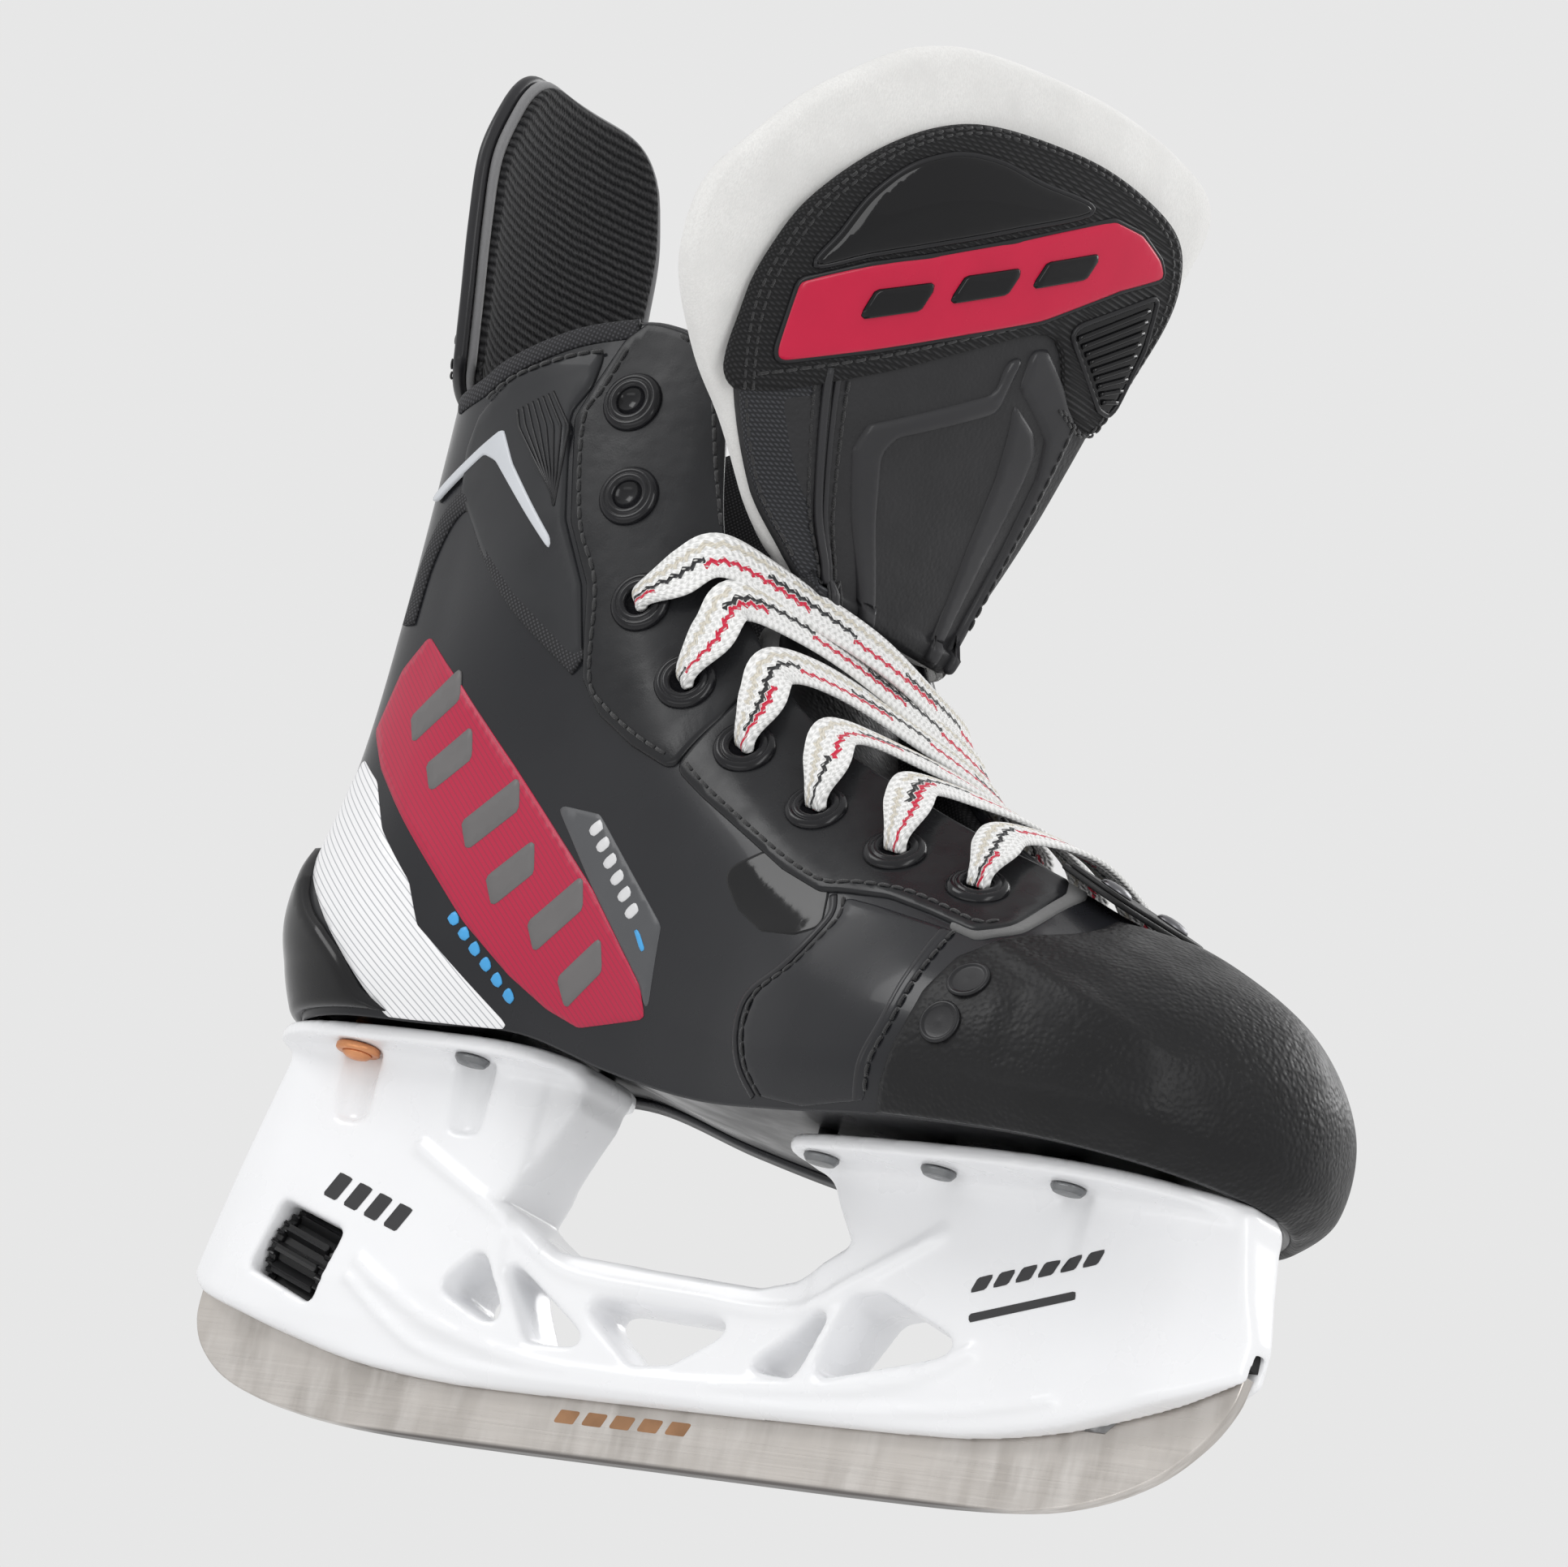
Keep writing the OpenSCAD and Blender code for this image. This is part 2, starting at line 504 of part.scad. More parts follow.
// ---------- lace ----------
// Rows of lace: near eyelet, where it crosses the near edge, the far edge, far eyelet,
// and how far forward it is pushed in the middle
STRAPS = [
  [[10, 12], 12.1, 31, [32.3, 12.6], 10], [[11.7, 12], 12.6, 30.4, [31.4, 12.1], 5],
  [[13.1, 12.1], 13.5, 29.9, [30.9, 12.1], 1], [[14.4, 12.1], 14.7, 29.2, [29.6, 12.1], 1],
  [[15.6, 12.2], 15.9, 28, [28.4, 12.2], 1], [[16.8, 12.3], 17.1, 26.8, [27.2, 12.3], 1]];
module strap(s) {
  b = surf(s[1], 15, 4.4);
  c = surf(s[2], 15, 4.4);
  path = open_curve([surf(s[0][0], s[0][1], 4.1), b, (b + c) / 2 + [s[4], 0, 3 - s[4] / 2], c,
                     surf(s[3][0], s[3][1], 4.1)], 4);
  low = surf(s[1] - 0.4, 14.4);
  high = surf(s[1] + 0.4, 14.4);
  across = unit(high - low) * lace_w / 2;
  function tangent(i) = path[min(i + 1, len(path) - 1)] - path[max(i - 1, 0)];
  function side(i, d) =
    let (up = unit(cross(across, tangent(i))) * d) [path[i] - across + up, path[i] + across + up];
  slab([for (i = [0:len(path) - 1]) side(i, lace_t / 2)],
       [for (i = [0:len(path) - 1]) side(i, -lace_t / 2)]);
}
module lace() {
  color("white") for (s = STRAPS) strap(s);
}

runner();
blade_holder();
front_slot_pad();
lock_dial();
lock_bolt();
heel_steel_rivets();
toe_steel_rivets();
copper_rivets();
copper_washers();
outsole();
footbed();
boot_shell();
boot_liner();
heel_cup();
toe_cap();
toe_plugs();
ankle_collar();
collar_lining();
ankle_panel_near();
ankle_panel_far();
upper_facing_near();
upper_facing_far();
lower_facing_near();
lower_facing_far();
vamp_front();
vamp_panel_near();
vamp_panel_far();
eyelets_near();
eyelets_far();
toe_strip();
strip_rivets();
tendon_guard();
guard_lining();
tongue_base();
tongue_felt();
tongue_panel();
tongue_cap();
lace();
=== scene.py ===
import math
import bmesh
import bpy
import numpy as np
from mathutils import Matrix, Vector
from mathutils.geometry import delaunay_2d_cdt


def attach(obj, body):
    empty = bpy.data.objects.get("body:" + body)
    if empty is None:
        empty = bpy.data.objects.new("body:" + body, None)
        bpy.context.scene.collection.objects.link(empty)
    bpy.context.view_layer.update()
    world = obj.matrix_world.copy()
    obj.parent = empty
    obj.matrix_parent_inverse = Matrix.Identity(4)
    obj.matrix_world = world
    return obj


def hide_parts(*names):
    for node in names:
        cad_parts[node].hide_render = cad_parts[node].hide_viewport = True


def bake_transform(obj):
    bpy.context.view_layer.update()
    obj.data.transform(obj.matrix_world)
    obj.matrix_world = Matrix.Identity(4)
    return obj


# An ice hockey skate. Sizes are in millimetres in the part's own frame: the origin under the
# middle of the runner, X to the toe, Y to the far side, Z up. make_object() turns them to metres.
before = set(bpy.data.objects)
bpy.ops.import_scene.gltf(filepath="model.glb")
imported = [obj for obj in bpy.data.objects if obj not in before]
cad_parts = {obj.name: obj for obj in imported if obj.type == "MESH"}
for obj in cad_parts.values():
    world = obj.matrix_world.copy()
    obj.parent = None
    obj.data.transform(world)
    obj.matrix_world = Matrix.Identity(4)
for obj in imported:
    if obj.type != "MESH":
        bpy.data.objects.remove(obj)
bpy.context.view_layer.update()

MM = 0.001
SKIRT = 0.35         # how far a cover's edge reaches down below its lift


# ---------- camera, light and floor ----------
AZIMUTH, ELEVATION, ROLL = math.radians(37), math.radians(-13), math.radians(15)
CAMERA_AWAY, LENS = 2600.0, 317.8
TARGET = np.array([-18.16, 0.77, 134.44])
LIGHTS_AIM = (0, 0, 0.13)


def make_camera():
    """A long lens below the runner's level, turned about its own axis as the skate leans."""
    back = np.array([math.sin(AZIMUTH) * math.cos(ELEVATION),
                     -math.cos(AZIMUTH) * math.cos(ELEVATION), math.sin(ELEVATION)])
    right = np.array([math.cos(AZIMUTH), math.sin(AZIMUTH), 0.0])
    up = np.cross(back, right)
    turned_right = right * math.cos(ROLL) + up * math.sin(ROLL)
    turned_up = -right * math.sin(ROLL) + up * math.cos(ROLL)
    data = bpy.data.cameras.new("camera")
    data.lens = LENS
    data.sensor_width = 36.0
    data.clip_end = 50.0
    data.clip_start = 0.1
    camera = bpy.data.objects.new("camera", data)
    place = (TARGET + back * CAMERA_AWAY) * MM
    columns = [list(turned_right) + [0], list(turned_up) + [0], list(back) + [0], list(place) + [1]]
    camera.matrix_world = Matrix(columns).transposed()
    bpy.context.collection.objects.link(camera)
    bpy.context.scene.camera = camera


def area_light(name, place, size, power):
    data = bpy.data.lights.new(name, "AREA")
    data.shape = "RECTANGLE"
    data.size, data.size_y = size
    data.energy = power
    light = bpy.data.objects.new(name, data)
    light.location = place
    light.rotation_euler = (Vector(LIGHTS_AIM) - Vector(place)).to_track_quat("-Z", "Y").to_euler()
    bpy.context.collection.objects.link(light)


def make_studio():
    bpy.context.scene.view_settings.view_transform = "Standard"
    world = bpy.data.worlds.new("studio")
    bpy.context.scene.world = world
    world.use_nodes = True
    background = world.node_tree.nodes["Background"]
    background.inputs["Color"].default_value = (1, 1, 1, 1)
    background.inputs["Strength"].default_value = 0.8
    area_light("key", (-0.9, -1.3, 1.3), (0.9, 0.9), 11)
    area_light("side", (1.5, -0.7, 0.5), (0.5, 1.4), 8)
    area_light("rim", (0.3, 1.4, 1.1), (1.2, 0.7), 10)
    area_light("low", (0.1, -1.4, -0.5), (1.6, 0.4), 2.5)
    bpy.ops.mesh.primitive_plane_add(size=60, location=(0, 0, -1.4))
    floor = bpy.context.object
    floor.name = "floor"
    material = bpy.data.materials.new("floor")
    material.use_nodes = True
    shader = material.node_tree.nodes["Principled BSDF"]
    shader.inputs["Base Color"].default_value = (0.92, 0.92, 0.92, 1)
    shader.inputs["Roughness"].default_value = 0.8
    floor.data.materials.append(material)


make_camera()
make_studio()


# ---------- curves ----------
def catmull_weights(t):
    return np.stack([-0.5 * t + t**2 - 0.5 * t**3, 1 - 2.5 * t**2 + 1.5 * t**3,
                     0.5 * t + 2 * t**2 - 1.5 * t**3, -0.5 * t**2 + 0.5 * t**3], -1)


def smooth_curve(points, steps, closed=False):
    """Catmull-Rom curve through the points, steps samples a span."""
    p = np.array(points, float)
    n = len(p)
    spans = n if closed else n - 1
    s = np.arange(spans * steps + (0 if closed else 1)) / steps
    i = np.minimum(np.floor(s).astype(int), spans - 1)
    w = catmull_weights(s - i)
    index = i[:, None] + np.array([-1, 0, 1, 2])
    index = index % n if closed else np.clip(index, 0, n - 1)
    return (p[index] * w[..., None]).sum(1)


def evenly(points, spacing, closed=False):
    """The same line with points at an even spacing."""
    p = np.array(points, float)
    if closed:
        p = np.vstack([p, p[:1]])
    step = np.linalg.norm(np.diff(p, axis=0), axis=1)
    length = np.concatenate([[0], np.cumsum(step)])
    count = max(2, int(round(length[-1] / spacing)))
    at = np.linspace(0, length[-1], count + 1)
    out = np.stack([np.interp(at, length, p[:, k]) for k in range(p.shape[1])], 1)
    return out[:-1] if closed else out


def rounded(points, radius):
    """Closed polygon with its corners rounded."""
    p = np.array(points, float)
    out = []
    for k in range(len(p)):
        a, b = p[k - 1] - p[k], p[(k + 1) % len(p)] - p[k]
        la, lb = np.linalg.norm(a), np.linalg.norm(b)
        half = math.acos(max(-1, min(1, a @ b / (la * lb)))) / 2
        reach = min(radius / max(math.tan(half), 0.05), la * 0.45, lb * 0.45)
        s, e = p[k] + a / la * reach, p[k] + b / lb * reach
        for t in np.linspace(0, 1, 7):
            out.append((1 - t)**2 * s + 2 * t * (1 - t) * p[k] + t**2 * e)
    return np.array(out)


def unit(v):
    v = np.asarray(v, float)
    return v / np.maximum(np.linalg.norm(v, axis=-1, keepdims=True), 1e-9)


# ---------- boot surface ----------
HEEL_RIB = [(-107.5, 0, 74), (-112, 0, 84), (-114.5, 0, 97), (-109, 0, 125), (-108, 0, 160),
            (-107, 0, 196)]
TOE_RIB = [(112, 0, 62), (118, 0, 70), (117.5, 0, 84), (110, 0, 96), (92, 0, 106), (68, 0, 114)]
SIDE_RIBS = [
    [(-101, -16, 74), (-104, -19, 84), (-106, -20.5, 97), (-101.5, -19.5, 125),
     (-101, -19, 160), (-101, -20, 197)],
    [(-86, -24, 74), (-86, -28, 84), (-87, -29.5, 97), (-84, -28, 125), (-84, -28, 160),
     (-87, -30, 200)],
    [(-66, -24, 74), (-65, -28, 84), (-65, -30, 98), (-64, -31, 127), (-66, -34, 165),
     (-69, -33, 208)],
    [(-44, -24, 74), (-43, -28, 83), (-42, -30.5, 98), (-44, -32, 127), (-52, -34, 168),
     (-50, -30, 213)],
    [(-20, -26, 68), (-19, -30, 79), (-18, -33, 96), (-22, -34, 120), (-36, -32.5, 157),
     (-35, -28, 204)],
    [(4, -30, 63.5), (6, -35, 75), (8, -37, 91), (0, -35.5, 112), (-19, -31, 140),
     (-24, -26, 169)],
    [(28, -36, 62), (31, -42, 71), (32, -43, 85), (27, -38, 102), (8, -30, 123), (-1, -22, 142)],
    [(54, -40, 62), (58, -46, 71), (59, -45.5, 84), (54, -38.5, 98), (41, -30, 111),
     (30, -19, 127)],
    [(86, -36, 62), (91, -42, 71), (91, -41, 83), (84, -34, 95), (70, -25, 105), (60, -13, 117)],
    [(105, -21, 62), (110, -25, 70), (109.5, -24.5, 84), (101, -20, 96), (84, -13, 106),
     (67, -6, 114.5)]]
COLUMNS, ROWS = 44, 15      # columns run heel, near side, toe (22), far side; rows sole to top
PER_RIB, PER_POINT = 2, 3   # columns from rib to rib, rows from point to point of a rib
ACROSS_STEP, UP_STEP = 12.6, 8.2    # about how many millimetres a column and a row measure
WALL = 3.0                  # thickness of the boot's wall


def far_rib(k):
    """Mirrored rib; the tongue pushes the far facing open."""
    rib = np.array(SIDE_RIBS[k], float) * (1, -1, 1)
    if 4 <= k <= 7:
        rib[4:] += np.outer(np.arange(1, 3), (4, 3.5, 0)) * (0.5 if k in (4, 7) else 1)
    return rib


NET = np.array([HEEL_RIB] + SIDE_RIBS + [TOE_RIB] + [far_rib(k) for k in range(9, -1, -1)], float)


def boot(u, v):
    """Points of the boot's outer surface at columns u and rows v."""
    u, v = np.broadcast_arrays(np.asarray(u, float), np.asarray(v, float))
    s = u / PER_RIB
    i = np.floor(s).astype(int)
    w = np.clip(v / PER_POINT, 0, 4.99999)
    j = np.floor(w).astype(int)
    across = catmull_weights(s - i)
    along = catmull_weights(w - j)
    ii = (i[..., None] + np.array([-1, 0, 1, 2])) % len(NET)
    jj = np.clip(j[..., None] + np.array([-1, 0, 1, 2]), 0, 5)
    corners = NET[ii[..., :, None], jj[..., None, :]]
    return np.einsum("...i,...j,...ijk->...k", across, along, corners)


def surface_normal(surface, a, b, step=0.01):
    """Unit normal of a surface, from small steps along both of its directions."""
    return unit(np.cross(surface(a + step, b) - surface(a - step, b),
                         surface(a, b + 0.02) - surface(a, b - 0.02)))


def boot_normal(u, v):
    return surface_normal(boot, u, np.clip(v, 0.02, ROWS - 0.02), 0.02)


BOOT_NET = (boot, boot_normal, np.array([ACROSS_STEP, UP_STEP]))


SEARCH_U, SEARCH_V = np.meshgrid(np.arange(0, COLUMNS / 2 + 0.01, 0.1), np.arange(0, ROWS + 0.01, 0.1),
                                 indexing="ij")
SEARCH = boot(SEARCH_U, SEARCH_V)[..., [0, 2]].reshape(-1, 2)


def on_side(points):
    """Columns and rows of near-side points given as (x, z)."""
    out = []
    for p in np.asarray(points, float):
        k = np.argmin(((SEARCH - p)**2).sum(1))
        uv = np.array([SEARCH_U.ravel()[k], SEARCH_V.ravel()[k]])
        for _ in range(3):
            here = boot(uv[0], uv[1])[[0, 2]]
            du = (boot(uv[0] + 0.01, uv[1])[[0, 2]] - here) / 0.01
            dv = (boot(uv[0], min(uv[1] + 0.01, 14.999))[[0, 2]] - here) / 0.01
            m = np.stack([du, dv], 1)
            if abs(np.linalg.det(m)) < 5:
                break
            uv = uv + np.clip(np.linalg.solve(m, p - here), -0.3, 0.3)
            uv[1] = min(max(uv[1], 0), 14.99)
        out.append(uv)
    return np.array(out)


def mirrored(uv):
    """The same place on the far side."""
    return np.stack([COLUMNS - uv[:, 0], uv[:, 1]], 1)[::-1]


# ---------- mesh helpers ----------
def make_object(name, verts, faces, material, body, smooth, uv):
    """Mesh from points in millimetres; it rides on the body, where one is given."""
    mesh = bpy.data.meshes.new(name)
    points = (np.asarray(verts, float) * MM).tolist()
    mesh.from_pydata(points, [], [tuple(int(k) for k in f) for f in faces])
    mesh.materials.append(material)
    if smooth:
        mesh.polygons.foreach_set("use_smooth", [True] * len(mesh.polygons))
    if uv is not None:
        layer = mesh.uv_layers.new(name="along")
        loops = np.zeros(len(mesh.loops), int)
        mesh.loops.foreach_get("vertex_index", loops)
        layer.data.foreach_set("uv", np.asarray(uv, float)[loops].ravel())
    mesh.update()
    obj = bpy.data.objects.new(name, mesh)
    bpy.context.collection.objects.link(obj)
    if body:
        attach(obj, body)
    return obj


def add_piece(name, shape, material, slot, nodes=(), body="boot", smooth=True, uv=None):
    """A visible piece, with the CAD nodes it stands for; its slot argument is not used."""
    piece = make_object(name, *shape, material, body, smooth, uv)
    if nodes:
        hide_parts(*nodes)
    return piece


def turn_outward(piece, rounds=0):
    """Turns the faces outwards, after some rounds of smoothing."""
    mesh = bmesh.new()
    mesh.from_mesh(piece.data)
    for _ in range(rounds):
        bmesh.ops.smooth_vert(mesh, verts=mesh.verts, factor=0.35, use_axis_x=True,
                              use_axis_y=True, use_axis_z=True)
    bmesh.ops.recalc_face_normals(mesh, faces=mesh.faces)
    mesh.to_mesh(piece.data)
    mesh.free()


def join_parts(parts):
    """One (verts, faces) from several."""
    verts, faces, n = [], [], 0
    for v, f in parts:
        verts.append(np.asarray(v, float))
        faces.extend([[k + n for k in face] for face in f])
        n += len(v)
    return np.vstack(verts), faces


def ring_faces(rows, cols):
    """Quads between rows rings of cols points."""
    return [[j * cols + i, j * cols + (i + 1) % cols, (j + 1) * cols + (i + 1) % cols,
             (j + 1) * cols + i] for j in range(rows - 1) for i in range(cols)]


def tube_faces(rows, cols, joined=False):
    """Faces of a tube, with its ends capped or joined to each other."""
    last = (rows - 1) * cols
    if joined:
        ends = [[last + i, last + (i + 1) % cols, (i + 1) % cols, i] for i in range(cols)]
    else:
        ends = [list(range(cols))[::-1], [last + i for i in range(cols)]]
    return ring_faces(rows, cols) + ends


def segment_distance(points, line, closed=True):
    """Distance from each point to the nearest part of a line."""
    a = np.asarray(line, float)
    b = np.roll(a, -1, 0) if closed else a[1:]
    a = a if closed else a[:-1]
    best = np.full(len(points), 1e9)
    for p, q in zip(a, b):
        d = q - p
        t = np.clip(((points - p) @ d) / max(d @ d, 1e-12), 0, 1)
        best = np.minimum(best, np.linalg.norm(points - (p + t[:, None] * d), axis=1))
    return best


def inside(points, polygon):
    x, y = points[:, 0], points[:, 1]
    odd = np.zeros(len(points), bool)
    for (x1, y1), (x2, y2) in zip(polygon, np.roll(polygon, -1, 0)):
        if y1 != y2:
            odd ^= ((y1 > y) != (y2 > y)) & (x < (x2 - x1) * (y - y1) / (y2 - y1) + x1)
    return odd


def turned_left(outline):
    """The outline in the order that turns left."""
    line = np.asarray(outline, float)
    after = np.roll(line, -1, 0)
    area = np.sum(line[:, 0] * after[:, 1] - after[:, 0] * line[:, 1])
    return line[::-1] if area < 0 else line


def fill_outline(outline, spacing, rings):
    """Points and triangles inside a closed outline; the outline's points come first."""
    outline = turned_left(outline)
    tangent = unit(np.roll(outline, -1, 0) - np.roll(outline, 1, 0))
    inward = np.stack([-tangent[:, 1], tangent[:, 0]], 1)
    extra = []
    for depth in rings:
        ring = outline + inward * depth
        ok = inside(ring, outline) & (segment_distance(ring, outline) > depth * 0.8)
        extra.append(ring[ok])
    low, high = outline.min(0), outline.max(0)
    xs = np.arange(low[0], high[0], spacing)
    ys = np.arange(low[1], high[1], spacing * 0.87)
    gx, gy = np.meshgrid(xs, ys, indexing="ij")
    gx = gx + (np.arange(len(ys)) % 2) * spacing / 2
    grid = np.stack([gx.ravel(), gy.ravel()], 1)
    grid = grid[inside(grid, outline)]
    if len(grid):
        clear = spacing * 0.5 + (rings[-1] if rings else 0)
        extra.append(grid[segment_distance(grid, outline) > clear])
    points = np.vstack([outline] + extra)
    found = delaunay_2d_cdt([Vector(p) for p in points], [], [list(range(len(outline)))], 1, 1e-5)
    flat = np.array([list(p) for p in found[0]])
    return outline, flat, [list(f) for f in found[2]]


def cover(outline_uv, lift, thick, edge, spacing=1.6, net=BOOT_NET, relief=None):
    """Raised cover on a surface: rounded edges, and a skirt down to what it lies on."""
    surface, normal, scale = net
    outline = evenly(np.asarray(outline_uv, float) * scale, min(spacing, 0.9), closed=True)
    rings = tuple(r for r in (edge * 0.3, edge) if r > 0.08)
    outline, flat, faces = fill_outline(outline, spacing, rings)
    uv = flat / scale
    base, n = surface(uv[:, 0], uv[:, 1]), normal(uv[:, 0], uv[:, 1])
    border = outline / scale
    rim = surface(border[:, 0], border[:, 1])
    depth = segment_distance(base, rim)
    part = np.clip(depth / max(edge, 1e-6), 0, 1)
    height = lift + thick * np.sqrt(np.clip(1 - (1 - part)**2, 0, 1))
    if relief is not None:
        height = height + relief(base, depth) * part
    skirt = rim + normal(border[:, 0], border[:, 1]) * (lift - SKIRT)
    on_rim = [int(np.argmin(((flat - p)**2).sum(1))) for p in outline]
    count, m = len(flat), len(outline)
    for k in range(m):
        q = (k + 1) % m
        faces.append([on_rim[q], on_rim[k], count + k, count + q])
    return np.vstack([base + n * height[:, None], skirt]), faces


def sweep(path, radius, sides, flat, across, closed=False):
    """Tube along a path; flat below 1 squashes it along its normal."""
    path = np.asarray(path, float)
    if closed:
        tangent = unit(np.roll(path, -1, 0) - np.roll(path, 1, 0))
    else:
        tangent = unit(np.gradient(path, axis=0))
    side = unit(across - tangent * np.sum(across * tangent, 1, keepdims=True))
    up = np.cross(side, tangent)
    angle = np.arange(sides) * 2 * math.pi / sides
    ring = np.cos(angle)[None, :, None] * side[:, None] + flat * np.sin(angle)[None, :, None] * up[:, None]
    verts = (path[:, None] + radius * ring).reshape(-1, 3)
    return verts, tube_faces(len(path), sides, closed)


def bead(path, normals, radius, sides=8, flat=1.0):
    """Tube that lies along a line on a surface."""
    return sweep(path, radius, sides, flat, np.cross(unit(np.gradient(path, axis=0)), normals))


def revolve(profile, place, axis, sides=40):
    """Lathe of (radius, height) points about an axis."""
    axis = unit(axis)
    x = unit(np.cross((0.31, 0.2, 0.9), axis))
    y = np.cross(axis, x)
    angle = np.arange(sides) * 2 * math.pi / sides
    round_ = np.cos(angle)[:, None] * x + np.sin(angle)[:, None] * y
    verts = np.vstack([np.asarray(place) + r * round_ + h * axis for r, h in profile])
    faces = ring_faces(len(profile), sides)
    for row, flip in ((0, True), (len(profile) - 1, False)):
        if profile[row][0] > 1e-6:
            loop = [row * sides + i for i in range(sides)]
            faces.append(loop[::-1] if flip else loop)
    return verts, faces


def stitch_row(places, normals, length, gap, radius, lift):
    """Row of thread stitches along a line of surface points."""
    places = np.asarray(places, float)
    step = np.linalg.norm(np.diff(places, axis=0), axis=1)
    run = np.concatenate([[0], np.cumsum(step)])
    parts, at = [], gap / 2
    while at + length < run[-1]:
        t = np.linspace(at, at + length, 5)
        p = np.stack([np.interp(t, run, places[:, k]) for k in range(3)], 1)
        n = unit(np.stack([np.interp(t, run, normals[:, k]) for k in range(3)], 1))
        arch = np.array([-0.25, 0.25, 0.4, 0.25, -0.25]) * radius + lift
        parts.append(bead(p + n * arch[:, None], n, radius, 5, 0.8))
        at += length + gap
    return parts


def line_on(points_uv, lift, steps=1, spacing=0.8, net=BOOT_NET):
    """Points and normals along a line on a surface."""
    surface, normal, scale = net
    uv = evenly(smooth_curve(points_uv, steps) * scale, spacing) / scale
    n = normal(uv[:, 0], uv[:, 1])
    return surface(uv[:, 0], uv[:, 1]) + n * lift, n


# ---------- materials ----------
DEEPER = 0.75        # the glossy and grained blacks are this much darker than their stated colour


class Nodes:
    """Short ways to add shader nodes to one material."""

    def __init__(self, name, color, roughness, metallic=0.0, coat=0.0, sheen=0.0,
                 coat_roughness=0.08, specular=0.5):
        self.material = bpy.data.materials.new(name)
        self.material.use_nodes = True
        self.tree = self.material.node_tree
        self.shader = self.tree.nodes["Principled BSDF"]
        self.color = color
        for socket, value in (("Base Color", (*color, 1)), ("Roughness", roughness),
                              ("Metallic", metallic), ("Coat Weight", coat),
                              ("Coat Roughness", coat_roughness), ("Sheen Weight", sheen),
                              ("Specular IOR Level", specular)):
            self.shader.inputs[socket].default_value = value
        self.height = None

    def add(self, kind, **values):
        node = self.tree.nodes.new("ShaderNode" + kind)
        for key, value in values.items():
            if key in node.inputs:
                node.inputs[key].default_value = value
            else:
                setattr(node, key.lower(), value)
        return node

    def link(self, a, b):
        self.tree.links.new(a, b)

    def place(self, stretch=(1, 1, 1), turn=(0, 0, 0)):
        """Coordinates in millimetres, stretched and turned."""
        coords = self.add("TexCoord")
        mapping = self.add("Mapping")
        mapping.inputs["Scale"].default_value = [1000 * s for s in stretch]
        mapping.inputs["Rotation"].default_value = [math.radians(t) for t in turn]
        self.link(coords.outputs["Object"], mapping.inputs["Vector"])
        return mapping.outputs["Vector"]

    def noise(self, size, at=None, detail=3.0, rough=0.5):
        node = self.add("TexNoise", Scale=1.0 / size, Detail=detail, Roughness=rough)
        self.link(at or self.place(), node.inputs["Vector"])
        return node.outputs["Fac"]

    def cells(self, size, feature="F1"):
        node = self.add("TexVoronoi", Scale=1.0 / size)
        node.feature = feature
        self.link(self.place(), node.inputs["Vector"])
        return node.outputs["Distance"]

    def waves(self, size, at, distortion=0.0, direction="X"):
        """Parallel bands, one every size millimetres."""
        node = self.add("TexWave", Scale=0.314159 / size, Distortion=distortion)
        node.bands_direction = direction
        self.link(at, node.inputs["Vector"])
        return node.outputs["Fac"]

    def math(self, operation, a, b=0.5):
        node = self.add("Math")
        node.operation = operation
        for socket, value in zip(node.inputs, (a, b)):
            if isinstance(value, (int, float)):
                socket.default_value = value
            else:
                self.link(value, socket)
        return node.outputs[0]

    def ramp(self, fac, low, high, least=0.0, most=1.0):
        """Least below low, most above high."""
        node = self.add("MapRange")
        for socket, value in (("From Min", low), ("From Max", high), ("To Min", least), ("To Max", most)):
            node.inputs[socket].default_value = value
        self.link(fac, node.inputs["Value"])
        return node.outputs["Result"]

    def mix(self, fac, a, b):
        node = self.add("Mix")
        node.data_type = "RGBA"
        self.link(fac, node.inputs["Factor"])
        for socket, value in ((node.inputs[6], a), (node.inputs[7], b)):
            if isinstance(value, tuple):
                socket.default_value = (*value, 1)
            else:
                self.link(value, socket)
        return node.outputs[2]

    def paint(self, color):
        self.link(color, self.shader.inputs["Base Color"])

    def shine(self, roughness):
        self.link(roughness, self.shader.inputs["Roughness"])

    def vary(self, amount=0.15, size=18.0):
        """Slight uneven colour."""
        self.paint(self.mix(self.noise(size), scaled(self.color, 1 - amount),
                            scaled(self.color, 1 + amount)))
        return self

    def gloss(self, low, high, size=9.0):
        """Roughness between two values, as use leaves it."""
        self.shine(self.ramp(self.noise(size, detail=5.0), 0.3, 0.7, low, high))
        return self

    def bump(self, height, depth, strength=1.0):
        """Adds relief depth millimetres deep; several calls stack."""
        node = self.add("Bump", Strength=strength, Distance=depth * MM)
        self.link(height, node.inputs["Height"])
        if self.height:
            self.link(self.height, node.inputs["Normal"])
        self.height = node.outputs["Normal"]
        self.link(self.height, self.shader.inputs["Normal"])
        return self


# ---------- the materials ----------
def scaled(color, factor):
    return tuple(min(1, c * factor) for c in color)


def black_gloss(name, color, rough):
    m = Nodes(name, scaled(color, DEEPER), rough, coat=0.14, coat_roughness=0.05, specular=0.22)
    m.vary(0.2, 25).gloss(rough * 0.8, rough * 1.7, 14)
    m.bump(m.noise(2.2), 0.03, 0.5)
    return m.material


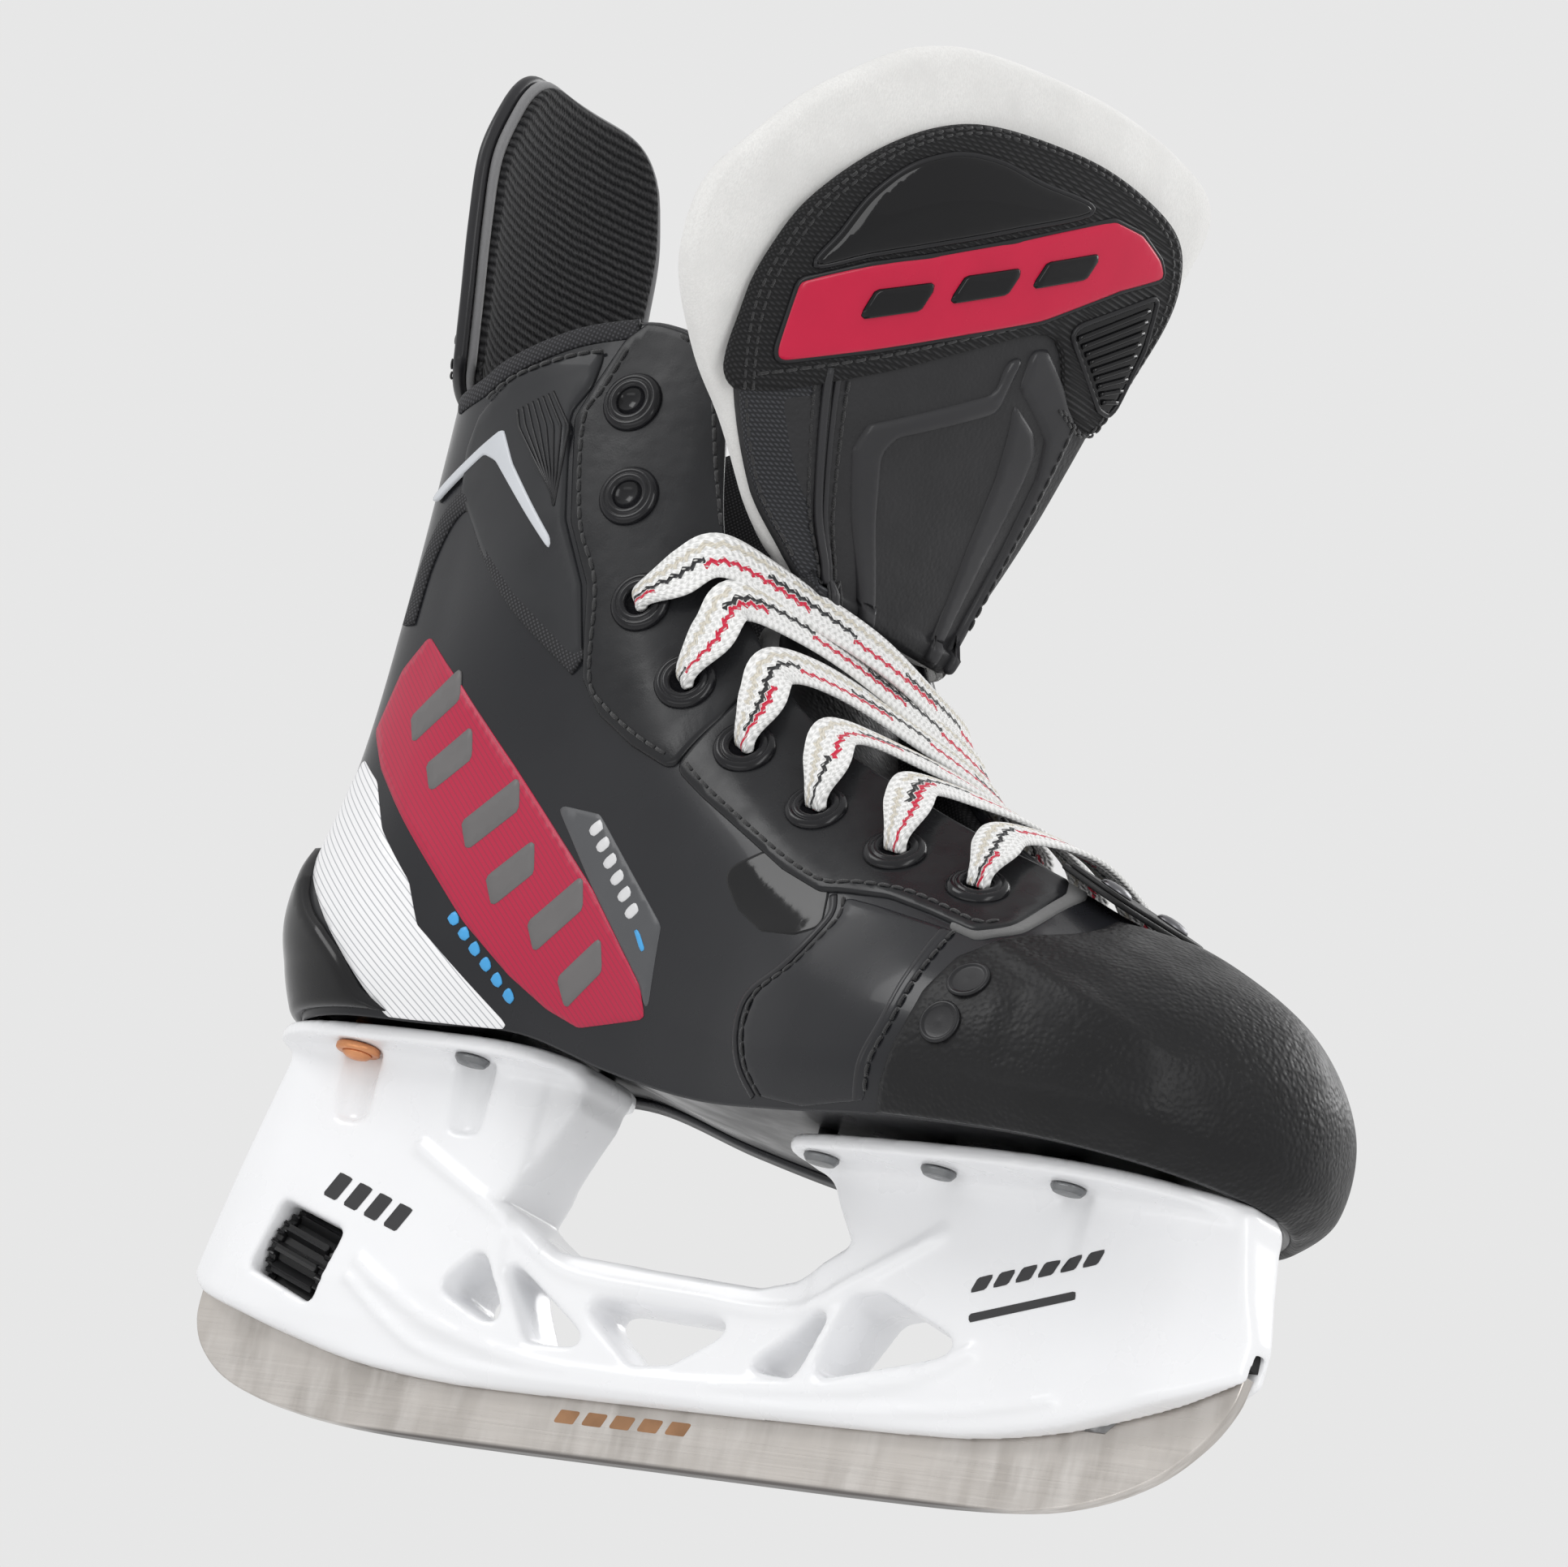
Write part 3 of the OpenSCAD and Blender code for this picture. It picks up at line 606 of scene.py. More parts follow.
def quarter_composite():
    """Smooth coated boot skin: charcoal, faintly mottled, with an orange-peel surface."""
    m = Nodes("quarter_composite", (0.0135, 0.014, 0.0165), 0.24, coat=0.16,
              coat_roughness=0.07, specular=0.25)
    m.vary(0.12, 30).gloss(0.2, 0.36, 22)
    m.bump(m.noise(26, detail=2.0), 0.5, 0.5)
    m.bump(m.noise(1.1), 0.02, 0.5)
    return m.material


def pebbled(name, color, size, depth, rough):
    """Grained leather or rubber."""
    m = Nodes(name, scaled(color, DEEPER), rough, coat=0.04, coat_roughness=0.25, specular=0.22)
    cell = m.cells(size, "SMOOTH_F1")
    m.vary(0.25, 12).gloss(rough - 0.1, rough + 0.12, 8)
    m.bump(cell, depth, 0.8)
    m.bump(m.noise(0.35), 0.03, 0.5)
    return m.material


def woven(name, color, size, depth=0.18, rough=0.75, turn=30):
    """Mesh fabric: two sets of threads crossing, darker in the gaps."""
    m = Nodes(name, color, rough, sheen=0.03, specular=0.18)
    warp = m.waves(size, m.place(turn=(0, turn, 0)))
    weft = m.waves(size, m.place(turn=(0, turn + 90, 0)))
    crossing = m.math("MULTIPLY", warp, weft)
    m.paint(m.mix(crossing, scaled(color, 0.45), scaled(color, 1.9)))
    m.bump(crossing, depth, 0.9)
    m.bump(m.noise(0.25), 0.04, 0.6)
    return m.material


def terry():
    """Ribbed loop pile of the guard's lining."""
    m = Nodes("ribbed_terry", (0.012, 0.012, 0.013), 0.95, sheen=0.08, specular=0.2)
    rib = m.waves(1.7, m.place(), 1.2, "Z")
    loop = m.cells(0.7)
    both = m.math("MULTIPLY", rib, m.math("ADD", loop, 0.35))
    m.paint(m.mix(both, (0.006, 0.006, 0.007), (0.045, 0.045, 0.047)))
    m.bump(rib, 0.5, 0.9)
    m.bump(loop, 0.3, 0.8)
    return m.material


def felt(name, color):
    """Pressed felt: matted fibres, faint clouding."""
    m = Nodes(name, color, 0.95, sheen=0.35)
    fibre = m.noise(0.5, m.place(stretch=(1, 2.2, 0.7)), detail=6, rough=0.7)
    cloud = m.noise(9, detail=3)
    pale = m.math("MULTIPLY", m.ramp(fibre, 0.35, 0.65), m.ramp(cloud, 0.2, 0.6))
    m.paint(m.mix(pale, scaled(color, 0.86), color))
    m.bump(fibre, 0.16, 0.8)
    m.bump(m.noise(4.5), 0.4, 0.5)
    return m.material


def thread(name):
    m = Nodes(name, (0.01, 0.01, 0.011), 0.6, sheen=0.2)
    m.bump(m.waves(0.35, m.place(turn=(0, 35, 20))), 0.06, 0.8)
    m.vary(0.25, 3)
    return m.material


def printed(name, color, rough=0.3, line=None, pitch=1.1, turn=0.0, share=(0.8, 0.93)):
    """Flat print, plain or with fine parallel lines of a second colour."""
    m = Nodes(name, color, rough, coat=0.08, coat_roughness=0.12, specular=0.3)
    if line:
        lines = m.ramp(m.waves(pitch, m.place(turn=(0, turn, 0)), direction="Z"), *share)
        m.paint(m.mix(lines, color, line))
    else:
        m.vary(0.1, 12)
    m.gloss(rough, rough + 0.1, 16)
    m.bump(m.noise(1.0), 0.02, 0.5)
    return m.material


# ---------- boot ----------
def both_sides(line):
    """Columns and rows along a smooth near-side (x, z) line, and along its mirror image."""
    uv = on_side(evenly(smooth_curve(line, 6), 1.5))
    return ("near", uv), ("far", mirrored(uv))


def boot_wall():
    """The one-piece boot: outer skin, rolled top edge and inner skin."""
    us = np.arange(0, COLUMNS, 0.2)
    vs = np.concatenate([np.arange(0, ROWS, 0.25), [ROWS - 0.1, ROWS]])
    u, v = np.meshgrid(us, vs)
    outer, n = boot(u, v), boot_normal(u, v)
    inner = outer - WALL * n
    up = unit(boot(us, ROWS) - boot(us, ROWS - 0.2))
    outer[-1] -= n[-1] * 0.25
    rim = [outer[-1] - n[-1] * d + up * h for d, h in ((0.5, 0.6), (1.3, 0.85), (2.2, 0.6))]
    rows = np.concatenate([outer, np.array(rim), inner[::-1]])
    add_piece("boot_wall", (rows.reshape(-1, 3), tube_faces(len(rows), len(us), True)),
              quarter_composite(), "quarter", ("boot_shell", "ankle_collar", "vamp_front"))


def boot_lining():
    """Padded knit lining: swollen a little between its seams."""
    us = np.arange(0, COLUMNS, 0.25)
    vs = np.concatenate([np.arange(1.2, ROWS, 0.3), [14.95]])
    u, v = np.meshgrid(us, vs)
    base, n = boot(u, v), boot_normal(u, v)
    puff = 2.0 + 1.6 * np.clip((v - 10) / 4, 0, 1) * np.clip((14.95 - v) / 1.2, 0, 1)**0.5
    outer = base - (WALL + 0.05) * n
    inner = base - (WALL + 0.1 + puff[..., None]) * n
    rows = np.concatenate([outer, inner[::-1]])
    add_piece("boot_lining", (rows.reshape(-1, 3), tube_faces(len(rows), len(us), True)),
              woven("lining_knit", (0.03, 0.03, 0.032), 0.7, 0.15, 0.9), "lining",
              ("boot_liner", "collar_lining"))


def sole_plates():
    """Outsole board and footbed, from the boot's own sole line."""
    t = np.linspace(0, 1, 17)
    sag = np.outer(4 * t * (1 - t), (0, 0, 1))
    board, foam = [], []
    for u in np.arange(2.5, 20.6, 0.25):
        a, b = (boot(k, 0.15) - boot_normal(k, 0.3) * (WALL + 0.3) for k in (u, COLUMNS - u))
        line = a + np.outer(t, b - a)
        board.append((line, line + (0, 0, 3.0)))
        foam.append((line - sag * 0.6 + (0, 0, 3.6), line - sag * 1.6 + (0, 0, 8.2)))
    hard = black_gloss("sole_board", (0.02, 0.02, 0.022), 0.3)
    soft = woven("footbed_knit", (0.07, 0.07, 0.075), 0.8)
    for name, rows, material, node, slot in (("outsole_board", board, hard, "outsole", "board"),
                                             ("footbed_foam", foam, soft, "footbed", "foam")):
        low, high = np.moveaxis(np.array(rows), 1, 0)
        ring = np.concatenate([high, low[:, ::-1]], 1)
        faces = [f[::-1] for f in tube_faces(len(rows), ring.shape[1])]
        add_piece(name, (ring.reshape(-1, 3), faces), material, slot, (node,))


def side_cover(name, outline, lift, thick, edge, material, slot, node=None, radius=1.0, spacing=1.6):
    """Raised cover from a near-side (x, z) outline, repeated on the far side."""
    uv = on_side(evenly(rounded(outline, radius), 1.2, closed=True))
    for side, border in (("near", uv), ("far", mirrored(uv))):
        nodes = (node + "_" + side,) if node else ()
        add_piece(name + "_" + side, cover(border, lift, thick, edge, spacing), material, slot, nodes)


UPPER_FACING = [(-52, 214.5), (-57, 209), (-60.5, 198), (-62.3, 192), (-56, 171), (-48.5, 159),
                (-44.3, 141), (-38.5, 134.5), (-29, 129), (-17.5, 124.5), (-12.5, 136.5), (-9.5, 146.5),
                (-7, 151), (-20, 166), (-25, 174), (-29, 186), (-34, 202), (-37, 208), (-43, 213)]
LOWER_FACING = [(-17, 125), (-9, 120), (4, 113), (15, 107), (25, 103.3), (30, 103.7), (40, 103.7),
                (50, 101.5), (61, 98.5), (66, 101), (64, 113), (60, 118), (45, 122), (20, 131),
                (0, 144), (-8, 150), (-12, 140)]
HEEL_CUP = [(-74, 75), (-81, 79), (-93, 90), (-103, 100.5), (-107, 108.5)]
TOE_CAP = [(68, 97.5), (62, 92), (59.5, 84), (57, 74), (54.5, 67.5), (53, 63.5)]
SEAM_REAR = [(30.5, 103), (32, 98), (27, 88.5), (18.5, 82.5), (17, 76), (19, 69), (23, 64)]
SEAM_FRONT = [(57, 98.5), (56.5, 89), (55, 78.5), (52, 71), (50, 64)]
ANKLE_PANEL = [(-88.5, 177), (-90, 186), (-88, 193), (-80, 200.5), (-60, 207.5), (-60.5, 198.5),
               (-63.5, 193), (-57.5, 172), (-50, 159.5), (-45.6, 145.5), (-48, 144), (-64.5, 154.5),
               (-77, 164.5)]
ANKLE_TRIM = [(-96.5, 152), (-95.5, 164), (-91, 173.5), (-84.5, 176), (-76, 166.5), (-63.5, 155.5),
              (-46, 144)]
COLLAR_STRIP = [(-97, 196), (-89, 198.2), (-82, 202), (-67, 208.3), (-55, 211.6)]
CHEVRON = [(-99, 177), (-79, 189.5), (-74, 182.5), (-59, 167.5), (-58.5, 165), (-79, 183), (-83, 184.5),
           (-96, 176.5)]
RED_BAND = [(-88, 149), (-94, 142.5), (-97.5, 130.5), (-91, 122), (-77.5, 109.5), (-59.5, 93),
            (-47, 84), (-37, 78.5), (-28.5, 75.5), (-11, 77.5), (-13.5, 83.5), (-30, 101),
            (-56.5, 124), (-74.5, 139)]
WHITE_BAND = [(-99, 125), (-91, 119.5), (-84.5, 109.5), (-74, 99.5), (-70, 91.5), (-46, 74.6),
              (-58, 74.5), (-75, 74.4), (-80, 78.5), (-92, 90), (-102, 100.5), (-106, 108), (-104, 116)]
INNER_STITCHES = [(-55.5, 207), (-58, 198), (-59.8, 191.5), (-54, 172), (-46.5, 159.5),
                  (-42.3, 141.5), (-37.5, 136.5), (-28.5, 131.3), (-19.5, 127.5)]
FRONT_STITCHES = [(-46, 211.3), (-39, 207), (-36, 201.5), (-31, 186), (-27, 174.5)]
LOWER_STITCHES = [(-15, 126.5), (-8.5, 122), (4, 115), (15, 109.2), (25, 105.3), (32, 105.8),
                  (42, 105.4), (51, 103.2), (60.5, 100.6), (63.5, 103)]
PANEL_STITCHES = [(-86, 195.5), (-79, 200), (-66, 204.6), (-59.5, 206)]
BLOCK_STARTS = np.array([(-86.5, 132.5), (-78, 122.8), (-65.5, 112), (-56.5, 101.8), (-44.5, 94),
                         (-35, 84.2)])
RIB_ENDS = [((-68.5, 196.8), (-77.5, 192.5)), ((-62.5, 190), (-76.5, 189.5)), ((-60.5, 174), (-62, 177))]
GREY_PANEL = [(-44, 117), (-32.5, 115.5), (-11, 95), (-10.5, 78), (-14, 84), (-30.5, 101.5)]


def between(a, b, t):
    return tuple(np.array(a) * (1 - t) + np.array(b) * t)


def boot_covers():
    leather = pebbled("facing_leather", (0.02, 0.0205, 0.0225), 2.6, 0.05, 0.28)
    side_cover("upper_facing", UPPER_FACING, 0.0, 0.9, 0.8, leather, "facing", "upper_facing", 3)
    side_cover("lower_facing", LOWER_FACING, 0.0, 0.9, 0.8, leather, "facing", "lower_facing", 3)
    moulding = black_gloss("ankle_moulding", (0.03, 0.031, 0.034), 0.3)
    side_cover("ankle_panel", ANKLE_PANEL, 0.1, 0.75, 1.2, moulding, "black_plastic", "ankle_panel", 2.5)
    silver = printed("chevron_silver", (0.55, 0.57, 0.6), 0.22)
    side_cover("chevron", CHEVRON, 0.85, 0.35, 0.3, silver, "black_plastic", None, 0.8, 1.2)
    # ribs beside the chevron, the one nearest to the facing first
    rib_parts = {"near": [], "far": []}
    for t in np.arange(8) / 8:
        line = [between(a, b, t) for a, b in RIB_ENDS]
        uv = on_side(evenly(line, 1.0))
        for side, way in (("near", uv), ("far", mirrored(uv))):
            p, n = line_on(way, 0.85)
            rib_parts[side].append(bead(p, n, 0.34, 6, 0.9))
    for side, parts in rib_parts.items():
        ridge = black_gloss("rib_" + side, (0.02, 0.02, 0.022), 0.28)
        add_piece("ankle_ribs_" + side, join_parts(parts), ridge, "black_plastic")
    trim = woven("trim_mesh", (0.04, 0.04, 0.043), 0.75, 0.22, 0.6)
    side_strips("ankle_trim", ANKLE_TRIM, 2.6, 0.75, trim)
    strip = woven("collar_mesh", (0.04, 0.04, 0.044), 0.8, 0.25, 0.6, -15)
    side_strips("collar_strip", COLLAR_STRIP, 2.0, 0.6, strip)


def side_strips(name, line, width, thick, material):
    """Soft band of rounded section laid along a near-side line, on both sides."""
    for side, way in both_sides(line):
        p, n = line_on(way, 0.1, spacing=0.9)
        add_piece(name + "_" + side, bead(p, n, width, 14, thick / width), material, "lining")


def even_border(border):
    return evenly(border * BOOT_NET[2], 1.2, True) / BOOT_NET[2]


def grow(value, over):
    return np.clip(value / over, 0, 1)


def toe_relief(p, _):
    """Ridge along the side with a shallow recess under it."""
    x, z = p[:, 0], p[:, 2]
    crest = 96.5 - (x - 66) * 0.42
    ridge = 0.9 * np.exp(-((z - crest) / 2.2)**2) * grow(x - 60, 8) * grow(108 - x, 6)
    recess = 0.7 * grow(crest - 4 - z, 3) * grow(z - 70, 4) * grow(x - 76, 4) * grow(105 - x, 4)
    return ridge - recess


def wrapped_covers():
    """Covers that go right round the heel or the toe."""
    cup = on_side(HEEL_CUP)
    border = np.vstack([[cup[0][0], 0.6], cup, (cup * (-1, 1))[::-1], [-cup[0][0], 0.6]])
    add_piece("heel_cup_moulding", cover(even_border(border), 0.1, 1.9, 2.2),
              black_gloss("heel_cup_gloss", (0.01, 0.01, 0.011), 0.18), "black_plastic", ("heel_cup",))
    rear = on_side(TOE_CAP)
    line = np.vstack([[(19.2, 12.9), (18.2, 11.3), (17.3, 10.0)], rear, [(rear[-1][0], 0.3)]])
    border = np.vstack([line, (line * (-1, 1) + (COLUMNS, 0))[::-1]])
    add_piece("toe_cap_leather", cover(even_border(border), 0.1, 1.6, 1.6, 1.3, relief=toe_relief),
              pebbled("toe_leather", (0.011, 0.011, 0.012), 1.0, 0.3, 0.46), "toe_leather", ("toe_cap",))


def seams():
    """Stitched seams, the folded edges beside two of them and the panel between them."""
    black = thread("thread")
    parts = []
    for line, lift in ((SEAM_REAR, 0.25), (SEAM_FRONT, 0.25), (INNER_STITCHES, 0.95),
                       (FRONT_STITCHES, 0.95), (LOWER_STITCHES, 0.95), (PANEL_STITCHES, 0.9)):
        for _, way in both_sides(line):
            p, n = line_on(way, 0.0)
            parts += stitch_row(p, n, 2.3, 0.55, 0.38, lift)
    add_piece("boot_stitches", join_parts(parts), black, "facing")
    laps = []
    for line in (SEAM_REAR, SEAM_FRONT):
        for _, way in both_sides([(x - 2.2, z) for x, z in line]):
            p, n = line_on(way, 0.05)
            laps.append(bead(p, n, 0.8, 8, 0.45))
    add_piece("seam_laps", join_parts(laps), black_gloss("seam_edge", (0.03, 0.03, 0.033), 0.25), "quarter")
    panel = SEAM_REAR + [(34, 62.6), (50, 64)] + SEAM_FRONT[::-1][1:] + [(46, 100.5), (38, 102)]
    side_cover("vamp_panel", panel, 0.02, 0.3, 0.8, quarter_composite(), "quarter", "vamp_panel", 1.5)


def prints():
    """The printed bands and their plain blocks."""
    red = printed("band_red", (0.42, 0.012, 0.05), 0.34, (0.3, 0.02, 0.05), 0.95, -42)
    white = printed("band_white", (0.82, 0.82, 0.83), 0.3, (0.42, 0.43, 0.45), 1.15, -38, (0.86, 0.95))
    grey = printed("block_grey", (0.13, 0.125, 0.125), 0.45)
    pale = printed("print_pale", (0.62, 0.62, 0.63))
    blue = printed("print_blue", (0.06, 0.33, 0.66))
    dark = printed("panel_grey", (0.075, 0.077, 0.082))
    for name, outline, material, lift in (("white_band", WHITE_BAND, white, 0.05),
                                          ("grey_panel", GREY_PANEL, dark, 0.02),
                                          ("red_band", RED_BAND, red, 0.08)):
        side_cover(name, outline, lift, 0.12, 0.1, material, "quarter")
    # plain slanted blocks along the red band, then two rows of small bars
    down, side = unit((0.66, -0.75)), unit((0.75, 0.66))
    for k, start in enumerate(BLOCK_STARTS):
        width = 12.5 if k % 2 else 15
        box = [start, start + side * width, start + side * (width - 3) + down * 6.2,
               start + down * 6.2 - side * 1.5]
        side_cover("band_block_%d" % k, box, 0.22, 0.12, 0.1, grey, "quarter", radius=0.9)
    for k in range(6):
        for name, start, way, wide, tall, lift, material, radius in (
                ("pale_bar_%d", (-34.6, 112.6), down * 4.1, 3.2, 2.4, 0.2, pale, 0.5),
                ("blue_bar_%d", (-63.5, 93.6), unit((0.76, -0.65)) * 4.0, 2.2, 2.6, 0.16, blue, 0.4)):
            a = start + way * k
            box = [a, a + side * wide, a + side * wide + down * tall, a + down * tall]
            side_cover(name % k, box, lift, 0.1, 0.1, material, "quarter", None, radius, 1.0)
    slash = [(-17.8, 94.2), (-16.4, 94), (-13.6, 90), (-14.8, 89.8)]
    side_cover("blue_slash", slash, 0.2, 0.1, 0.1, blue, "quarter", None, 0.3, 0.8)


def small_covers():
    """A polished patch under the facings and the grey felt edge past their front ends."""
    patch = [(1, 106), (9, 110.5), (18, 112), (27, 104), (29.5, 96), (24, 94), (15, 94.5), (7, 99)]
    polish = black_gloss("polished_black", (0.006, 0.006, 0.007), 0.06)
    side_cover("polished_patch", patch, 0.05, 0.12, 0.5, polish, "quarter", None, 3)
    edge = [(55, 99), (62.5, 97), (68.5, 100.5), (66.2, 113.5), (61, 119.5), (54, 119)]
    grey = felt("facing_grey_felt", (0.11, 0.11, 0.11))
    side_cover("facing_felt", edge, -0.3, 0.8, 0.6, grey, "felt", None, 2)


def toe_plug_pair():
    disc = [(0, 1.2), (3.9, 1.2), (4.2, 2.0), (3.9, 2.25), (3.5, 2.3), (3.3, 2.05), (2.9, 2.0), (0, 2.1)]
    parts = [revolve(disc, boot(u, v), boot_normal(u, v), 36)
             for near_u, v in on_side([(68.3, 86.8), (66.5, 78.3)]) for u in (near_u, COLUMNS - near_u)]
    plastic = black_gloss("plug_black", (0.018, 0.018, 0.02), 0.24)
    add_piece("toe_plug_discs", join_parts(parts), plastic, "black_plastic", ("toe_plugs",))


boot_wall()
boot_lining()
sole_plates()
boot_covers()
wrapped_covers()
seams()
prints()
small_covers()
toe_plug_pair()


# ---------- tongue ----------
# Rows up the tongue: middle, direction across, half width, how far the edges fall back
TONGUE = [((-11, 6, 174), (0.10, 0.99, 0.08), 28, 4), ((-8, 2.5, 188), (0.20, 0.94, 0.22), 37, 6),
          ((-2, -4, 209), (0.28, 0.90, 0.32), 47, 7), ((4, -10, 233), (0.29, 0.90, 0.32), 55, 8),
          ((6, -17, 252), (0.29, 0.90, 0.32), 55, 8), ((3, -25, 265), (0.29, 0.90, 0.32), 40, 6),
          ((0, -30, 273), (0.29, 0.90, 0.32), 18, 2)]
TUCKED = 0.7         # rows that the tongue runs on below its first one, behind the lace


def along_rows(values, s, below=0.0):
    """Smooth values between rows; below the first row they run on straight, as far as -below."""
    if below:
        s = np.asarray(s, float)
        under = np.clip(-s, 0, below)
        straight = (values[1] - values[0]) * 0.8
        return along_rows(values, s) - under[..., None] * straight
    s = np.clip(s, 0, len(values) - 1.00001)
    i = np.floor(s).astype(int)
    index = np.clip(i[..., None] + np.array([-1, 0, 1, 2]), 0, len(values) - 1)
    return np.einsum("...i,...ik->...k", catmull_weights(s - i), values[index])


def leaf(rows, tucked=0.0):
    """Front surface and normal of a tongue: t from -1 at the near edge to 1 at the far, s rows up."""
    mid, half = (np.array(part, float) for part in ([r[0] for r in rows], [r[2:] for r in rows]))
    across = unit([r[1] for r in rows])
    top = len(rows) - 1

    def surface(t, s):
        t, s = np.broadcast_arrays(np.asarray(t, float), np.asarray(s, float))
        here, side, size = (along_rows(a, s, tucked) for a in (mid, across, half))
        up = along_rows(mid, np.clip(s + 0.3, 0, top)) - along_rows(mid, np.clip(s - 0.3, 0, top))
        front = unit(np.cross(side, up))
        return here + side * (t * size[..., 0])[..., None] - front * (size[..., 1] * t * t)[..., None]

    def normal(t, s):
        return surface_normal(surface, t, np.clip(s, 0.03 - tucked, top - 0.03))
    return surface, normal


LOWER_TONGUE = [((64, 0, 111), (0, 1, 0), 8, 0.5), ((44, 0, 119), (0, 1, 0), 12, 1.5),
                ((20, 0, 126), (0, 1, 0), 14, 2), ((3, 0, 136), (0, 1, 0), 17, 3),
                ((-7, 1, 150), (0.05, 1, 0.05), 20, 4), ((-12.5, 4, 171), (0.10, 0.99, 0.08), 23, 4)]
tongue, tongue_normal = leaf(TONGUE, TUCKED)
TONGUE_SCALE = np.array([45.0, 17.0])        # millimetres that t and s measure
TONGUE_NET = (tongue, tongue_normal, TONGUE_SCALE)
LOWER_NET = (*leaf(LOWER_TONGUE), np.array([18.0, 20.0]))
FELT_THICK = 7.0
FELT_EDGE = [(-0.86, -0.65), (-0.95, 0), (-0.97, 0.9), (-1.0, 1.7), (-1.08, 2.3), (-1.13, 2.9),
             (-1.08, 3.6), (-1.0, 4.2), (-0.9, 4.9), (-0.74, 5.6), (-0.45, 5.9), (0.1, 5.97),
             (0.55, 5.8), (0.92, 5.4), (1.06, 4.8), (1.08, 4.2), (1.11, 3.5), (1.05, 2.9), (1.0, 2.3),
             (0.98, 1.5), (0.97, 0.8), (0.98, 0), (0.98, -0.62)]
CAP_EDGE = [(-0.96, 2.05), (-0.93, 2.7), (-0.83, 3.25), (-0.71, 3.7), (-0.5, 4.2), (-0.25, 4.48),
            (0.02, 4.5), (0.4, 4.2), (0.66, 3.8), (0.84, 3.4), (0.92, 2.9), (0.93, 2.4), (0.88, 1.85),
            (0.6, 2.05), (0.42, 2.5), (0.28, 2.6), (-0.03, 2.45), (-0.4, 2.25)]
DOME_EDGE = [(-0.7, 3.05), (-0.62, 3.35), (-0.53, 3.7), (-0.42, 3.97), (-0.32, 4.1), (-0.18, 4.17),
             (-0.02, 4.1), (0.14, 3.92), (0.38, 3.68), (0.04, 3.47), (-0.28, 3.3), (-0.5, 3.18)]
RED_EDGE = [(-0.75, 2.92), (-0.5, 3.1), (-0.28, 3.2), (0.05, 3.37), (0.48, 3.6), (0.62, 3.48), (0.74, 3.25),
            (0.79, 3.08), (0.58, 2.97), (0.26, 2.72), (-0.05, 2.6), (-0.42, 2.45), (-0.82, 2.3)]
COMB_EDGE = [(0.4, 2.66), (0.79, 2.93), (0.86, 2.5), (0.9, 1.98), (0.79, 2.05)]
BODY_EDGE = [(-0.84, -0.62), (-0.93, 0), (-0.95, 1.0), (-0.94, 2.3), (-0.4, 2.5), (0.3, 2.75),
             (0.75, 2.4), (0.9, 1.9), (0.94, 1.2), (0.96, 0), (0.96, -0.62)]
FRAME_LEFT = [(-0.32, -0.58), (-0.41, 0.9), (-0.44, 1.65), (-0.38, 1.87), (0.19, 2.17), (0.19, 2.42),
              (0.27, 2.45), (0.25, 2.0), (-0.22, 1.76), (-0.28, 1.62), (-0.24, 0.9), (-0.13, -0.58)]
FRAME_RIGHT = [(0.3, 2.12), (0.49, 1.88), (0.57, 1.7), (0.59, 1.5), (0.61, 0.8), (0.72, -0.58),
               (0.58, -0.58), (0.42, 0.9), (0.39, 1.5), (0.34, 1.9)]
FRAME_OUTER = [(0.29, 2.5), (0.37, 2.5), (0.74, 1.9), (0.78, 1.4), (0.82, 0.8), (0.94, -0.58),
               (0.84, -0.58), (0.72, 0.8), (0.66, 1.5), (0.58, 1.8), (0.3, 2.2)]
STRIP_EDGE = [(-0.84, -0.55), (-0.91, 0.03), (-0.94, 1.2), (-0.93, 2.25), (-0.62, 2.35), (-0.62, 1.2),
              (-0.7, -0.55)]
PIPING = np.array([(-0.68, -0.55), (-0.6, 1.2), (-0.58, 2.3)])


def pad(outline, mid, half, edge, net, spacing=2.0, relief=None):
    """Closed soft sheet: its middle lies mid outside a surface, with rounded edges."""
    surface, normal, scale = net
    outline = evenly(np.asarray(outline, float) * scale, min(spacing, 1.4), closed=True)
    outline, flat, faces = fill_outline(outline, spacing, (edge * 0.12, edge * 0.4, edge))
    at = flat / scale
    base, n = surface(at[:, 0], at[:, 1]), normal(at[:, 0], at[:, 1])
    border = outline / scale
    depth = segment_distance(base, surface(border[:, 0], border[:, 1]))
    part = np.clip(depth / edge, 0, 1)
    thick = half * np.sqrt(np.clip(1 - (1 - part)**2, 0, 1))
    wave = 0 if relief is None else relief(base) * part
    front = base + n * (mid + thick + wave)[:, None]
    back = base + n * (mid - thick + wave)[:, None]
    m = len(flat)
    on_rim = depth < 1e-4
    other = np.where(on_rim, np.arange(m), np.arange(m) + m)
    faces = faces + [[int(other[k]) for k in f[::-1]] for f in faces]
    used = sorted({k for f in faces for k in f})
    renumber = {k: i for i, k in enumerate(used)}
    verts = np.vstack([front, back])[used]
    return verts, [[renumber[k] for k in f] for f in faces]


def smooth_edge(points, spacing=1.2):
    """Round outline through points of the tongue, evenly divided."""
    return evenly(smooth_curve(points * TONGUE_SCALE, 6, closed=True), spacing, closed=True) / TONGUE_SCALE


def soft_corners(points, radius):
    return rounded(points * TONGUE_SCALE, radius) / TONGUE_SCALE


def tongue_cover(name, outline, lift, thick, edge, material, slot="tongue_leather", nodes=(),
                 spacing=1.4, relief=None):
    shape = cover(outline, lift, thick, edge, spacing, TONGUE_NET, relief)
    add_piece(name, shape, material, slot, nodes, "tongue")


